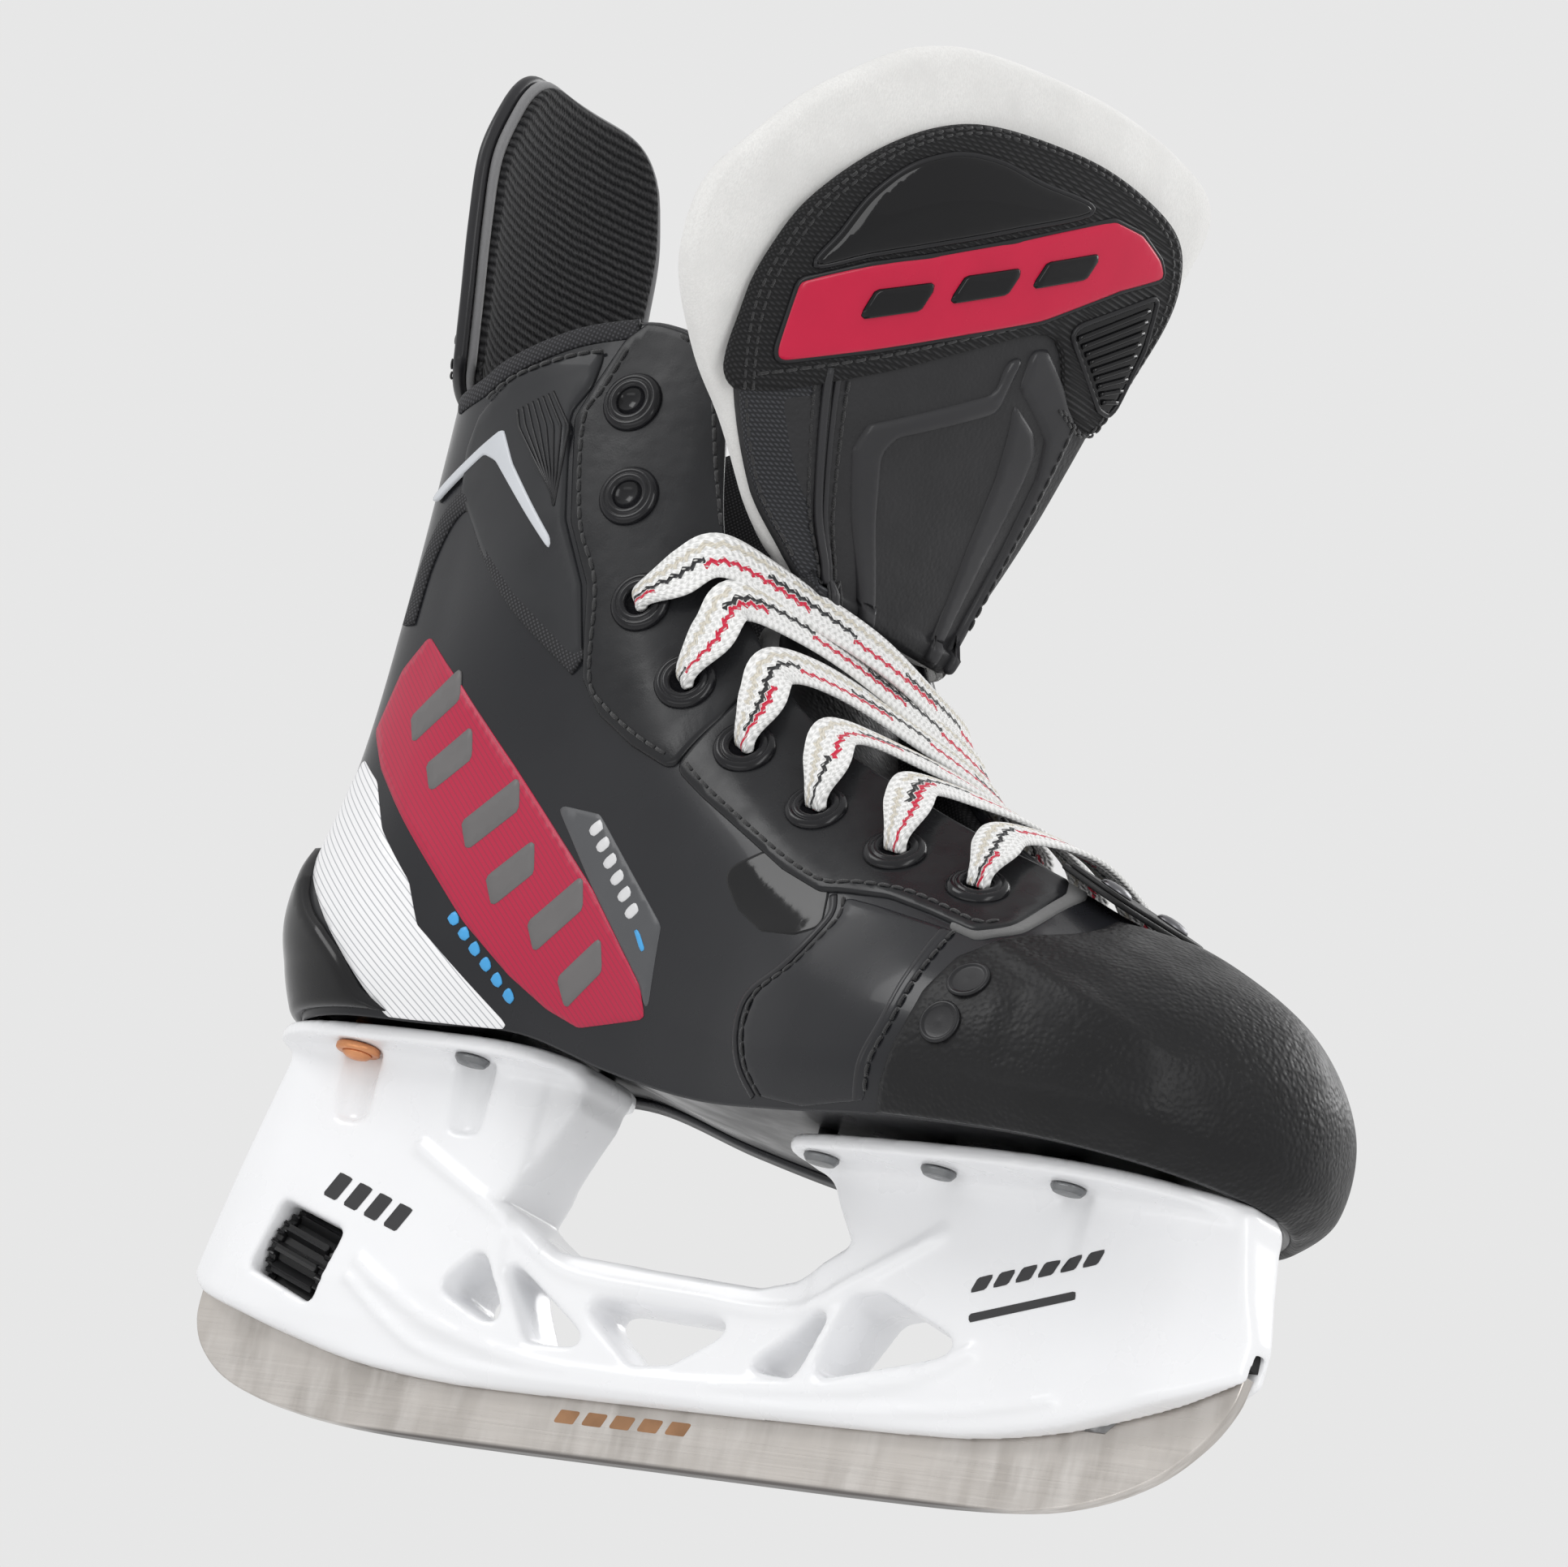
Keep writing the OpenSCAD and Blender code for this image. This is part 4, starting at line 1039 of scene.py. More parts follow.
def tongue_line(points, lift, radius, flat=0.9, sides=8):
    p, n = line_on(points, lift, 8, 0.9, TONGUE_NET)
    return bead(p, n, radius, sides, flat)


def tongue_stitches(points, lift, length=2.2, gap=0.6, radius=0.34):
    p, n = line_on(points, 0.0, 8, 0.8, TONGUE_NET)
    return stitch_row(p, n, length, gap, radius, lift)


def felt_waves(p):
    return 0.5 * np.sin(p[:, 1] / 9 + p[:, 2] / 14) + 0.4 * np.sin(p[:, 1] / 5.2 - p[:, 2] / 8 + 1)


def pillow(_, depth):
    return 0.9 * grow(depth, 12)


def crown(_, depth):
    return 1.3 * grow(depth, 9)


def make_tongue():
    sides = evenly(smooth_curve(FELT_EDGE * TONGUE_SCALE, 6), 1.3) / TONGUE_SCALE
    outline = np.vstack([sides, [(t, -0.66) for t in (0.8, 0.4, 0, -0.4, -0.8)]])
    wool = pad(outline, -FELT_THICK / 2, FELT_THICK / 2, 4.5, TONGUE_NET, 2.2, felt_waves)
    white = felt("white_felt", (0.78, 0.775, 0.76))
    add_piece("tongue_wool", wool, white, "felt", ("tongue_felt",), "tongue")
    leather = pebbled("tongue_leather", (0.032, 0.032, 0.034), 0.8, 0.14, 0.46)
    smooth = black_gloss("tongue_smooth", (0.036, 0.036, 0.039), 0.36)
    tongue_cover("tongue_body", soft_corners(BODY_EDGE, 3), 0.15, 2.0, 1.8, leather,
                 nodes=("tongue_panel",), relief=pillow)
    for name, edge_line in (("tongue_channel_left", FRAME_LEFT), ("tongue_channel_right", FRAME_RIGHT),
                            ("tongue_channel_outer", FRAME_OUTER)):
        tongue_cover(name, soft_corners(edge_line, 2.0), 2.6, 1.1, 1.3, smooth, spacing=1.1)
    nylon = woven("strip_nylon", (0.035, 0.036, 0.04), 0.62, 0.14, 0.45)
    tongue_cover("tongue_strip", soft_corners(STRIP_EDGE, 1.0), 1.9, 0.9, 0.8, nylon)
    piping = [tongue_line(PIPING, 3.3, 0.9, 0.9, 10), tongue_line(PIPING + (0.045, 0), 3.0, 0.7, 0.7)]
    add_piece("tongue_piping", join_parts(piping), smooth, "tongue_leather", (), "tongue")
    mesh = woven("cap_mesh", (0.02, 0.02, 0.021), 0.75, 0.3, 0.7)
    tongue_cover("tongue_cap_mesh", smooth_edge(CAP_EDGE), 2.3, 1.5, 1.3, mesh, "black_plastic",
                 ("tongue_cap",))
    gloss = black_gloss("dome_gloss", (0.006, 0.006, 0.007), 0.07)
    dome, band, comb = smooth_edge(DOME_EDGE, 0.9), soft_corners(RED_EDGE, 1.6), soft_corners(COMB_EDGE, 1.5)
    red = printed("cap_red", (0.5, 0.008, 0.045), 0.2)
    tongue_cover("cap_dome", dome, 3.6, 0.9, 0.7, gloss, "black_plastic", (), 1.1, crown)
    tongue_cover("cap_red_band", band, 3.6, 0.9, 0.6, red, "black_plastic", (), 1.1)
    tongue_cover("cap_comb_plate", comb, 3.5, 0.5, 0.5, gloss, "black_plastic", (), 1.1)
    rims = []
    for line in (dome, band, comb):
        t, s = line[:, 0], line[:, 1]
        p = evenly(tongue(t, s) + tongue_normal(t, s) * 3.9, 1.0, closed=True)
        side = np.cross(unit(np.roll(p, -1, 0) - np.roll(p, 1, 0)), (0.8, -0.2, 0.1))
        rims.append(sweep(p, 0.62, 8, 0.9, side, closed=True))
    rim_black = black_gloss("cap_rim", (0.016, 0.016, 0.018), 0.28)
    add_piece("cap_rims", join_parts(rims), rim_black, "black_plastic", (), "tongue")
    # ribs of the comb, from its left edge to its right
    ribs = []
    for k in range(9):
        part = (k + 0.7) / 9.2
        a = between((0.44, 2.64), (0.8, 2.08), part)
        b = between((0.76, 2.88), (0.88, 2.06), part)
        ribs.append(tongue_line([a, between(a, b, 0.5), b], 4.15, 0.55))
    add_piece("cap_comb", join_parts(ribs), gloss, "black_plastic", (), "tongue")
    # three plain raised bars on the band
    for k, (t, s) in enumerate(((-0.52, 2.66), (-0.18, 2.82), (0.15, 2.97))):
        bar = [(t, s), (t + 0.24, s + 0.1), (t + 0.29, s + 0.34), (t + 0.05, s + 0.24)]
        tongue_cover("cap_bar_%d" % k, soft_corners(bar, 0.8), 4.4, 0.8, 0.4, gloss, "black_plastic", (), 0.9)
    parts = []
    for shrink in (0.93, 0.965):
        ring = [((t - 0.02) * shrink + 0.02, 2.9 + (s - 2.9) * (shrink if s > 2.9 else 1))
                for t, s in CAP_EDGE[:14]]
        parts += tongue_stitches(ring, 3.75, 1.5, 0.7, 0.3)
    for line, lift in ((PIPING - (0.05, 0), 2.9), (PIPING + (0.09, 0), 3.1),
                       ([(-0.9, 0.05), (-0.92, 1.2), (-0.91, 2.1)], 2.6),
                       ([(0.7, 1.95), (0.74, 1.4), (0.78, 0.8), (0.86, 0.05)], 3.7),
                       ([(-0.88, 2.2), (-0.4, 2.4), (-0.03, 2.58), (0.28, 2.72)], 3.8)):
        parts += tongue_stitches(line, lift)
    add_piece("tongue_stitches", join_parts(parts), thread("tongue_thread"), "tongue_leather", (), "tongue")


def make_tongue_base():
    scale = LOWER_NET[2]
    outline = rounded([(-1, 0), (1, 0), (1, 4.6), (-1, 4.6)] * scale, 3) / scale
    add_piece("tongue_base_felt", pad(outline, -3.6, 3.3, 3.3, LOWER_NET, 2.2),
              felt("grey_felt", (0.3, 0.3, 0.3)), "felt", ("tongue_base",))
    outline = rounded([(-0.86, 0.05), (0.86, 0.05), (0.9, 4.55), (-0.9, 4.55)] * scale, 3) / scale
    add_piece("tongue_base_leather", cover(outline, -0.35, 1.5, 1.4, 1.8, LOWER_NET),
              pebbled("base_leather", (0.03, 0.03, 0.032), 0.8, 0.14, 0.46), "tongue_leather")


# ---------- tendon guard ----------
# Rows: height at the middle, half width, depth of the curve, X at the back
GUARD = np.array([(198, 27, 10, -109.5), (213, 29.5, 10, -110.5), (229, 31, 9, -111.5),
                  (244, 31, 7.5, -112), (257, 27, 6, -111.5), (267, 23, 4.5, -110.5)], float)
GUARD_SCALE = np.array([28.0, 14.0])


def guard(a, b):
    """Back face of the guard: a across from -1 to 1, b rows up."""
    a, b = np.broadcast_arrays(np.asarray(a, float), np.asarray(b, float))
    height, half, deep, x = np.moveaxis(along_rows(GUARD, b), -1, 0)
    return np.stack([x + deep * a * a, half * a, height + 5 * a * a * (267 - height) / 69], -1)


def guard_normal(a, b):
    return -surface_normal(guard, a, np.clip(b, 0.03, len(GUARD) - 1.03))


GUARD_NET = (guard, guard_normal, GUARD_SCALE)


def guard_outline(inset, radius):
    """The guard's outline drawn in by inset, with its upper corners rounded by radius."""
    x, y = GUARD_SCALE[0] - inset, GUARD_SCALE[1] * 5 - inset
    box = np.array([(-x, inset * 0.5), (x, inset * 0.5), (x, y), (-x, y)])
    out = []
    for k, p in enumerate(box):
        r = 3 if k < 2 else radius
        a, b = unit(box[k - 1] - p), unit(box[(k + 1) % 4] - p)
        for t in np.linspace(0, 1, 9):
            out.append((1 - t)**2 * (p + a * r) + 2 * t * (1 - t) * p + t * t * (p + b * r))
    return np.array(out) / GUARD_SCALE


def make_guard():
    shell = pad(guard_outline(0, 17), -1.3, 1.3, 1.3, GUARD_NET)
    black = black_gloss("guard_black", (0.026, 0.026, 0.029), 0.3)
    add_piece("guard_shell", shell, black, "black_plastic", ("tendon_guard",), "guard")
    layer = pad(guard_outline(0.8, 16), -3.6, 0.9, 0.9, GUARD_NET)
    grey = felt("guard_grey_felt", (0.2, 0.2, 0.205))
    backing = add_piece("guard_felt", layer, grey, "lining", (), "guard")
    pile = pad(guard_outline(2.2, 15), -5.2, 1.0, 1.6, GUARD_NET, 1.8)
    add_piece("guard_terry", pile, terry(), "lining", ("guard_lining",), "guard")
    seam = guard_outline(3.2, 14)
    p = evenly(guard(seam[:, 0], seam[:, 1]), 1.0, closed=True)
    parts = stitch_row(p, np.tile((-1.0, 0, 0), (len(p), 1)), 2.0, 0.8, 0.3, 0.15)
    add_piece("guard_stitches", join_parts(parts), thread("guard_thread"), "black_plastic", (), "guard")


def make_guard_root():
    """Elastic band inside the collar's back that carries the guard; it bends between the two."""
    high = guard(np.linspace(-0.86, 0.86, 41), 0.32) + (7.2, 0, 0)
    around = np.linspace(3, -3, 61)
    columns = np.interp(high[:, 1], boot(around, 14.0)[:, 1], around)
    low = boot(columns, 13.9) - boot_normal(columns, 13.9) * 7.6
    rows = []
    for t in np.linspace(0, 1, 13):
        ease = t * t * (3 - 2 * t)
        line = low * (1 - t) + high * t
        line[:, 0] = low[:, 0] * (1 - ease) + high[:, 0] * ease
        rows.append(line)
    front = np.array(rows)
    ring = np.concatenate([front, (front - (0.9, 0, 0))[:, ::-1]], 1)
    band = add_piece("guard_root", (ring.reshape(-1, 3), tube_faces(len(ring), ring.shape[1])),
                     woven("root_elastic", (0.02, 0.02, 0.021), 0.8, 0.2, 0.9), "lining", (), None)
    turn_outward(band)
    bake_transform(band)


# ---------- eyelets and lace ----------
EYELETS = [(8.05, 13.7), (8.9, 12.8), (10, 12), (11.7, 12), (13.1, 12.1), (14.4, 12.1), (15.6, 12.2),
           (16.8, 12.3)]
EYELET_R, EYELET_HOLE = 6.0, 2.8
LACE_WIDTH, LACE_THICK = 9.5, 1.6
END_WIDTH, END_THICK = 4.6, 2.6      # the lace bunched up in an eyelet


def make_eyelets():
    """Rimmed eyelets with a fine groove, and their sleeves through the wall."""
    lip = [(0, 0.98), (EYELET_HOLE, 1.0), (EYELET_HOLE, 1.75), (3.15, 2.2), (3.7, 2.38), (4.15, 2.3),
           (4.3, 2.08), (4.5, 2.06), (4.65, 2.22), (5.1, 2.12), (5.6, 1.8), (EYELET_R, 1.2), (EYELET_R, 0.8)]
    inner = [(4.8, -4.9), (4.6, -5.2), (3.4, -5.35), (EYELET_HOLE, -5.1), (EYELET_HOLE, -4.2)]
    for side in ("near", "far"):
        parts = []
        for u, v in EYELETS:
            u = u if side == "near" else COLUMNS - u
            p, n = boot(u, v), boot_normal(u, v)
            parts += [revolve(lip, p, n, 40), revolve(inner, p, n, 32)]
        black = black_gloss("eyelet_" + side, (0.012, 0.012, 0.014), 0.18)
        add_piece("eyelet_rims_" + side, join_parts(parts), black, "black_plastic", ("eyelets_" + side,))


def lace_braid():
    """Flat herringbone braid, white, with red, black and cream tracers."""
    m = Nodes("lace_braid", (0.88, 0.88, 0.87), 0.85, sheen=0.15)
    coords = m.add("TexCoord")
    split = m.add("SeparateXYZ")
    m.link(coords.outputs["UV"], split.inputs["Vector"])
    along, across = split.outputs["X"], split.outputs["Y"]
    folded = m.math("PINGPONG", along, 1.3)
    zig = m.math("ADD", across, m.math("MULTIPLY", folded, 0.75))

    def tracer(at, width, phase, share):
        near = m.math("LESS_THAN", m.math("ABSOLUTE", m.math("SUBTRACT", zig, at)), width)
        beat = m.math("FRACT", m.math("ADD", m.math("DIVIDE", along, 34.0), phase))
        return m.math("MULTIPLY", near, m.math("LESS_THAN", beat, share))
    color = m.mix(tracer(-1.6, 0.6, 0.0, 0.95), (0.88, 0.88, 0.87), (0.68, 0.64, 0.55))
    color = m.mix(tracer(0.7, 0.6, 0.15, 0.62), color, (0.02, 0.02, 0.022))
    color = m.mix(tracer(2.1, 0.62, 0.55, 0.7), color, (0.62, 0.012, 0.05))
    slant = m.math("ADD", along, m.math("ABSOLUTE", m.math("PINGPONG", across, 1.2)))
    strand = m.math("SINE", m.math("MULTIPLY", slant, 4.6))
    ridge = m.math("SINE", m.math("MULTIPLY", across, 5.2))
    cloth = m.math("ADD", strand, ridge)
    m.paint(m.mix(m.ramp(cloth, -1.9, -0.9), (0.62, 0.62, 0.6), color))
    m.bump(cloth, 0.18, 0.8)
    m.bump(m.noise(0.4), 0.08, 0.6)
    return m.material


def above(u, v, d):
    return boot(u, v) + boot_normal(u, v) * d


# Rows of lace: near eyelet, where it crosses the near edge, the far edge, far eyelet, and how
# far forward it is pushed in the middle
STRAPS = [((10, 12), 12.1, 31, (34, 12), 10), ((11.7, 12), 12.6, 30.4, (32.3, 12), 5),
          ((13.1, 12.1), 13.5, 29.9, (30.9, 12.1), 1), ((14.4, 12.1), 14.7, 29.2, (29.6, 12.1), 1),
          ((15.6, 12.2), 15.9, 28, (28.4, 12.2), 1), ((16.8, 12.3), 17.1, 26.8, (27.2, 12.3), 1)]


def lace_row(near, near_edge, far_edge, far, push, lean, start):
    """One row of flat lace from eyelet to eyelet, narrower where it enters them."""
    b, c = above(near_edge, 15, 4.4), above(far_edge, 15, 4.4)
    near_rise, far_rise = above(*near, 3.4), above(*far, 3.4)
    middle = (b + c) / 2 + (push, 0, 3 - push / 2)
    path = smooth_curve([above(*near, 1.2), near_rise, (near_rise + b) / 2 + boot_normal(*near), b, middle,
                         c, (far_rise + c) / 2 + boot_normal(*far), far_rise, above(*far, 1.2)], 9)
    path = evenly(path, 0.9)
    for _ in range(14):
        path[1:-1] = path[1:-1] * 0.5 + (path[:-2] + path[2:]) * 0.25
    low, high = boot(near_edge - 0.4, 14.4), boot(near_edge + 0.4, 14.4)
    tangent = unit(np.gradient(path, axis=0))
    side = np.tile(unit(high - low), (len(path), 1))
    side = unit(side - tangent * np.sum(side * tangent, 1, keepdims=True))
    up = np.cross(side, tangent)
    length = np.concatenate([[0], np.cumsum(np.linalg.norm(np.diff(path, axis=0), axis=1))])
    from_end = np.minimum(length, length[-1] - length)
    open_ = np.clip((from_end - 1) / 11, 0, 1)
    open_ = open_ * open_ * (3 - 2 * open_)
    width = END_WIDTH + (LACE_WIDTH - END_WIDTH) * open_
    thick = END_THICK + (LACE_THICK - END_THICK) * open_
    curl = 0.5 * np.sin(length / 7 + lean) * open_
    # section: flat with round edges and a faint dip along the middle
    turn = np.linspace(0, 2 * math.pi, 20, endpoint=False)
    cos_, sin_ = np.cos(turn), np.sin(turn)
    wide = np.sign(cos_) * np.abs(cos_)**0.55
    tall = np.sign(sin_) * np.abs(sin_)**0.8 * (1 - 0.18 * (1 - np.abs(wide))**2)
    offset = wide[None] * width[:, None] / 2
    rise = tall[None] * thick[:, None] / 2 + curl[:, None] * wide[None]**2
    verts = path[:, None] + offset[..., None] * side[:, None] + rise[..., None] * up[:, None]
    uv = np.stack(np.broadcast_arrays(length[:, None] + start, wide[None] * LACE_WIDTH / 2), -1)
    return verts.reshape(-1, 3), tube_faces(*offset.shape), uv.reshape(-1, 2)


def make_lace():
    parts, coordinates = [], []
    for k, row in enumerate(STRAPS):
        verts, faces, uv = lace_row(*row, lean=k * 1.7, start=k * 47.0)
        parts.append((verts, faces))
        coordinates.append(uv)
    add_piece("lace_rows", join_parts(parts), lace_braid(), "lace_white", ("lace",),
              uv=np.vstack(coordinates))


make_tongue()
make_tongue_base()
make_guard()
make_guard_root()
make_eyelets()
make_lace()


# ---------- steel ----------
RUNNER_THICK = 3.0
RUNNER_TOP = 17.5
RUNNER_EDGE = [(-119, 24), (-118.6, 17.5), (-115, 11.5), (-107, 6.2), (-93, 2.6), (-72, 0.5), (-36, 0),
               (36, 0), (72, 0.8), (90, 3.6), (104, 9.6), (113, 17.5), (117.6, 25), (118.8, 31)]
RUNNER_BACK = [(116, 31.6), (104, 31.6), (92, RUNNER_TOP), (-66, RUNNER_TOP), (-80, 20.4), (-104, 20.4),
               (-107, 24)]
DIAL_AT = np.array([-93.5, 0, 31.4])
DIAL_SLOPE = math.radians(18)
DIAL_AXIS = np.array([math.cos(DIAL_SLOPE), 0, -math.sin(DIAL_SLOPE)])
DIAL_UP = np.array([math.sin(DIAL_SLOPE), 0, math.cos(DIAL_SLOPE)])


def prism(outline, low, high, bevel, place=(0, 0, 0), right=(1, 0, 0), up=(0, 0, 1), out=(0, -1, 0)):
    """Solid from a closed outline that turns left, with rounded edges at both ends."""
    line = np.asarray(outline, float)
    tangent = unit(np.roll(line, -1, 0) - np.roll(line, 1, 0))
    inward = np.stack([-tangent[:, 1], tangent[:, 0]], 1)
    angle = np.linspace(0, math.pi / 2, 4)
    rings = [(line + inward * bevel * (1 - math.sin(a)), low + bevel * (1 - math.cos(a))) for a in angle]
    rings += [(line + inward * bevel * (1 - math.sin(a)), high - bevel * (1 - math.cos(a)))
              for a in angle[::-1]]
    place, right, up, out = (np.asarray(v, float) for v in (place, right, up, out))
    verts = np.vstack([place + r[:, :1] * right + r[:, 1:] * up + h * out for r, h in rings])
    return verts, tube_faces(len(rings), len(line))


def brushed_steel():
    """Ground steel: fine lengthwise scratches, soft vertical blotches, darker along the lowest millimetre."""
    m = Nodes("brushed_steel", (0.56, 0.53, 0.5), 0.3, metallic=1.0)
    scratch = m.noise(1.0, m.place(stretch=(0.04, 1, 3.2)), detail=6, rough=0.7)
    fine = m.noise(0.5, m.place(stretch=(3.0, 1, 0.12)), detail=4, rough=0.65)
    blotch = m.noise(1.0, m.place(stretch=(0.22, 1, 0.05)), detail=3)
    cloud = m.noise(16, detail=3)
    tone = m.mix(m.ramp(blotch, 0.36, 0.66), (0.47, 0.44, 0.41), (0.66, 0.63, 0.6))
    tone = m.mix(m.ramp(cloud, 0.35, 0.7), tone, (0.6, 0.565, 0.53))
    coords = m.add("TexCoord")
    split = m.add("SeparateXYZ")
    m.link(coords.outputs["Object"], split.inputs["Vector"])
    # the lowest millimetre of the steel, its underside too, is painted dark
    foot = m.ramp(split.outputs["Z"], 0.4 * MM, 1.1 * MM)
    m.paint(m.mix(foot, (0.16, 0.15, 0.145), tone))
    m.shine(m.ramp(scratch, 0.3, 0.7, 0.24, 0.42))
    m.bump(scratch, 0.02, 0.5)
    m.bump(fine, 0.012, 0.5)
    return m.material


def make_runner():
    profile = np.vstack([smooth_curve(RUNNER_EDGE, 6), RUNNER_BACK])
    profile[:, 1] = np.maximum(profile[:, 1], 0)
    hook = np.array([(12.2, 7.5), (12.2, 4.6), (15.4, 2.5), (18.6, -1.8), (18.6, -7), (29, -6), (30, 1),
                     (22, 7.5)])
    half = RUNNER_THICK / 2
    blade = prism(turned_left(profile), -half, half, 0.3)
    catch = prism(turned_left(hook), -half + 0.02, half - 0.02, 0.25, DIAL_AT, DIAL_AXIS, DIAL_UP)
    add_piece("runner_steel", join_parts([blade, catch]), brushed_steel(), "steel", ("runner",), "steel",
              smooth=False)
    # plain tinted bars where the steel carries its heat mark
    tint = Nodes("heat_tint", (0.36, 0.2, 0.11), 0.35, metallic=0.9)
    tint.vary(0.3, 5).gloss(0.28, 0.42, 6)
    tint.bump(tint.noise(0.6, tint.place(stretch=(0.05, 1, 3))), 0.015, 0.5)
    parts = []
    for k in range(5):
        x, z = -30 + k * 6.4, 6.4 + 0.1 * k
        bar = rounded([(x, z), (x + 4.6, z), (x + 5.8, z + 2.6), (x + 1.2, z + 2.6)], 0.5)
        parts.append(prism(turned_left(bar), half - 0.02, half + 0.03, 0.01))
        parts.append(prism(turned_left(bar * (-1, 1)), half - 0.02, half + 0.03, 0.01,
                           right=(-1, 0, 0), out=(0, 1, 0)))
    add_piece("steel_marks", join_parts(parts), tint.material, "steel", (), "steel", smooth=False)


# ---------- blade holder ----------
HOLDER_EDGE = [(-120.5, 25.5), (-115.5, 22), (-105, 18.9), (-95, 16.3), (-79, 12.9), (-62, 11.2),
               (-45, 10.8), (0, 11.3), (50, 12.3), (68, 13.4), (82, 15.8), (91, 18.2), (100, 21.1),
               (109, 24.5), (120, 30)]
HOLDER_TOP = [(120.4, 37), (117.4, 46), (115, 56), (114, 60), (20, 60), (25, 54), (31.5, 45.5), (31, 44.4),
              (20.2, 37.6), (12.1, 35.6), (-11.7, 36.6), (-34.8, 37.8), (-48.5, 45.5), (-39, 65), (-38, 72),
              (-107, 72), (-107, 68)]
WINDOWS = [[(-58.5, 28), (-50.6, 35.5), (-42.9, 21.5)], [(-47, 36), (-23, 20.6), (-37, 20.4)],
           [(-28, 29.6), (9, 28.2), (-4, 19.6), (-12.6, 18.6)], [(31.5, 33.6), (24.5, 19.8), (13, 20.2)],
           [(35.5, 34.8), (41.4, 36), (62.4, 28), (28.8, 19.8)]]
WEB_SECTION = [(5.2, 10), (5.9, 14), (8, 20), (9.6, 27), (10.2, 40), (11, 55), (12.5, 73)]
WEB_PLAN = [(-122, 3), (-116, 6.5), (-108, 9.5), (-95, 12.5), (-60, 13), (-48, 10), (-38, 7.6), (16, 7.6),
            (28, 10), (45, 13), (80, 13), (100, 10.5), (112, 7), (119, 4.2), (121.5, 2)]
HEEL_PLAN = [(-112, 4), (-108.5, 11.5), (-100, 18), (-87, 20.8), (-60, 20.8), (-47, 18), (-41, 12),
             (-39.5, 4)]
TOE_PLAN = [(18, 5), (18.5, 16), (24, 22), (44, 25), (74, 26), (94, 21.5), (106, 13.5), (113, 4)]
HEEL_Z, TOE_Z, FLANGE = 74.0, 62.0, 3.0
SLOT = [(122, -5), (122, 33), (119.4, 36), (90, 36), (88, RUNNER_TOP + 0.5), (-60, RUNNER_TOP + 0.5),
        (-62, 40), (-86, 40), (-86, 20.9), (-104, 20.9), (-106.5, 24.5), (-125, 24.5), (-125, -5)]
HEEL_RIVETS, COPPER_RIVETS = [(-61, -14), (-50, 13)], [(-88, -14), (-88, 14)]
TOE_RIVETS = [(x, side * (15 if x > 70 else 16.5)) for x in (25.5, 52, 80) for side in (-1, 1)]
UPPER_RIDGE = [(-69.5, 53.5), (-62, 49.5), (-51.5, 44.4), (-43, 39.5), (-34, 34.6), (-24, 32.8), (-2, 31.9),
               (14, 31), (26, 32.4), (35, 37.6), (52, 48.4)]
LOWER_RIDGE = [(-77.6, 30.4), (-70, 26), (-58, 20.6), (-42, 16.9), (-28, 15.4), (-5, 15.2), (16, 16.4),
               (38, 18.2), (54, 22.4), (64, 27.5)]
FOOT_RIDGE = [(-79.6, 27.3), (-70, 20.5), (-60, 15.6), (-43, 13.4), (-6, 13), (29, 13.9), (63, 16.9),
              (83, 20.6)]
CELL = 0.72          # grid size of the holder's surface
# a bar's corners, the step to the next bar and how many there are
BAR_ROWS = ((np.array([(-90, 42.4), (-86.6, 41.4), (-83.6, 46.0), (-87, 47.0)]), 5.2, -1.5, 4),
            (np.array([(61, 38.2), (64.4, 39.3), (65.6, 42.4), (62.2, 41.3)]), 4.6, 1.4, 6))


def signed(points, polygon):
    """Distance to a closed polygon, negative inside."""
    away = segment_distance(points, polygon)
    return np.where(inside(points, polygon), -away, away)


def soft_max(a, b, r):
    """Greater of two distances with a rounded edge of radius about r."""
    h = np.clip(0.5 + 0.5 * (a - b) / r, 0, 1)
    return b + (a - b) * h + r * h * (1 - h)


def soft_min(a, b, r):
    return -soft_max(-a, -b, r)


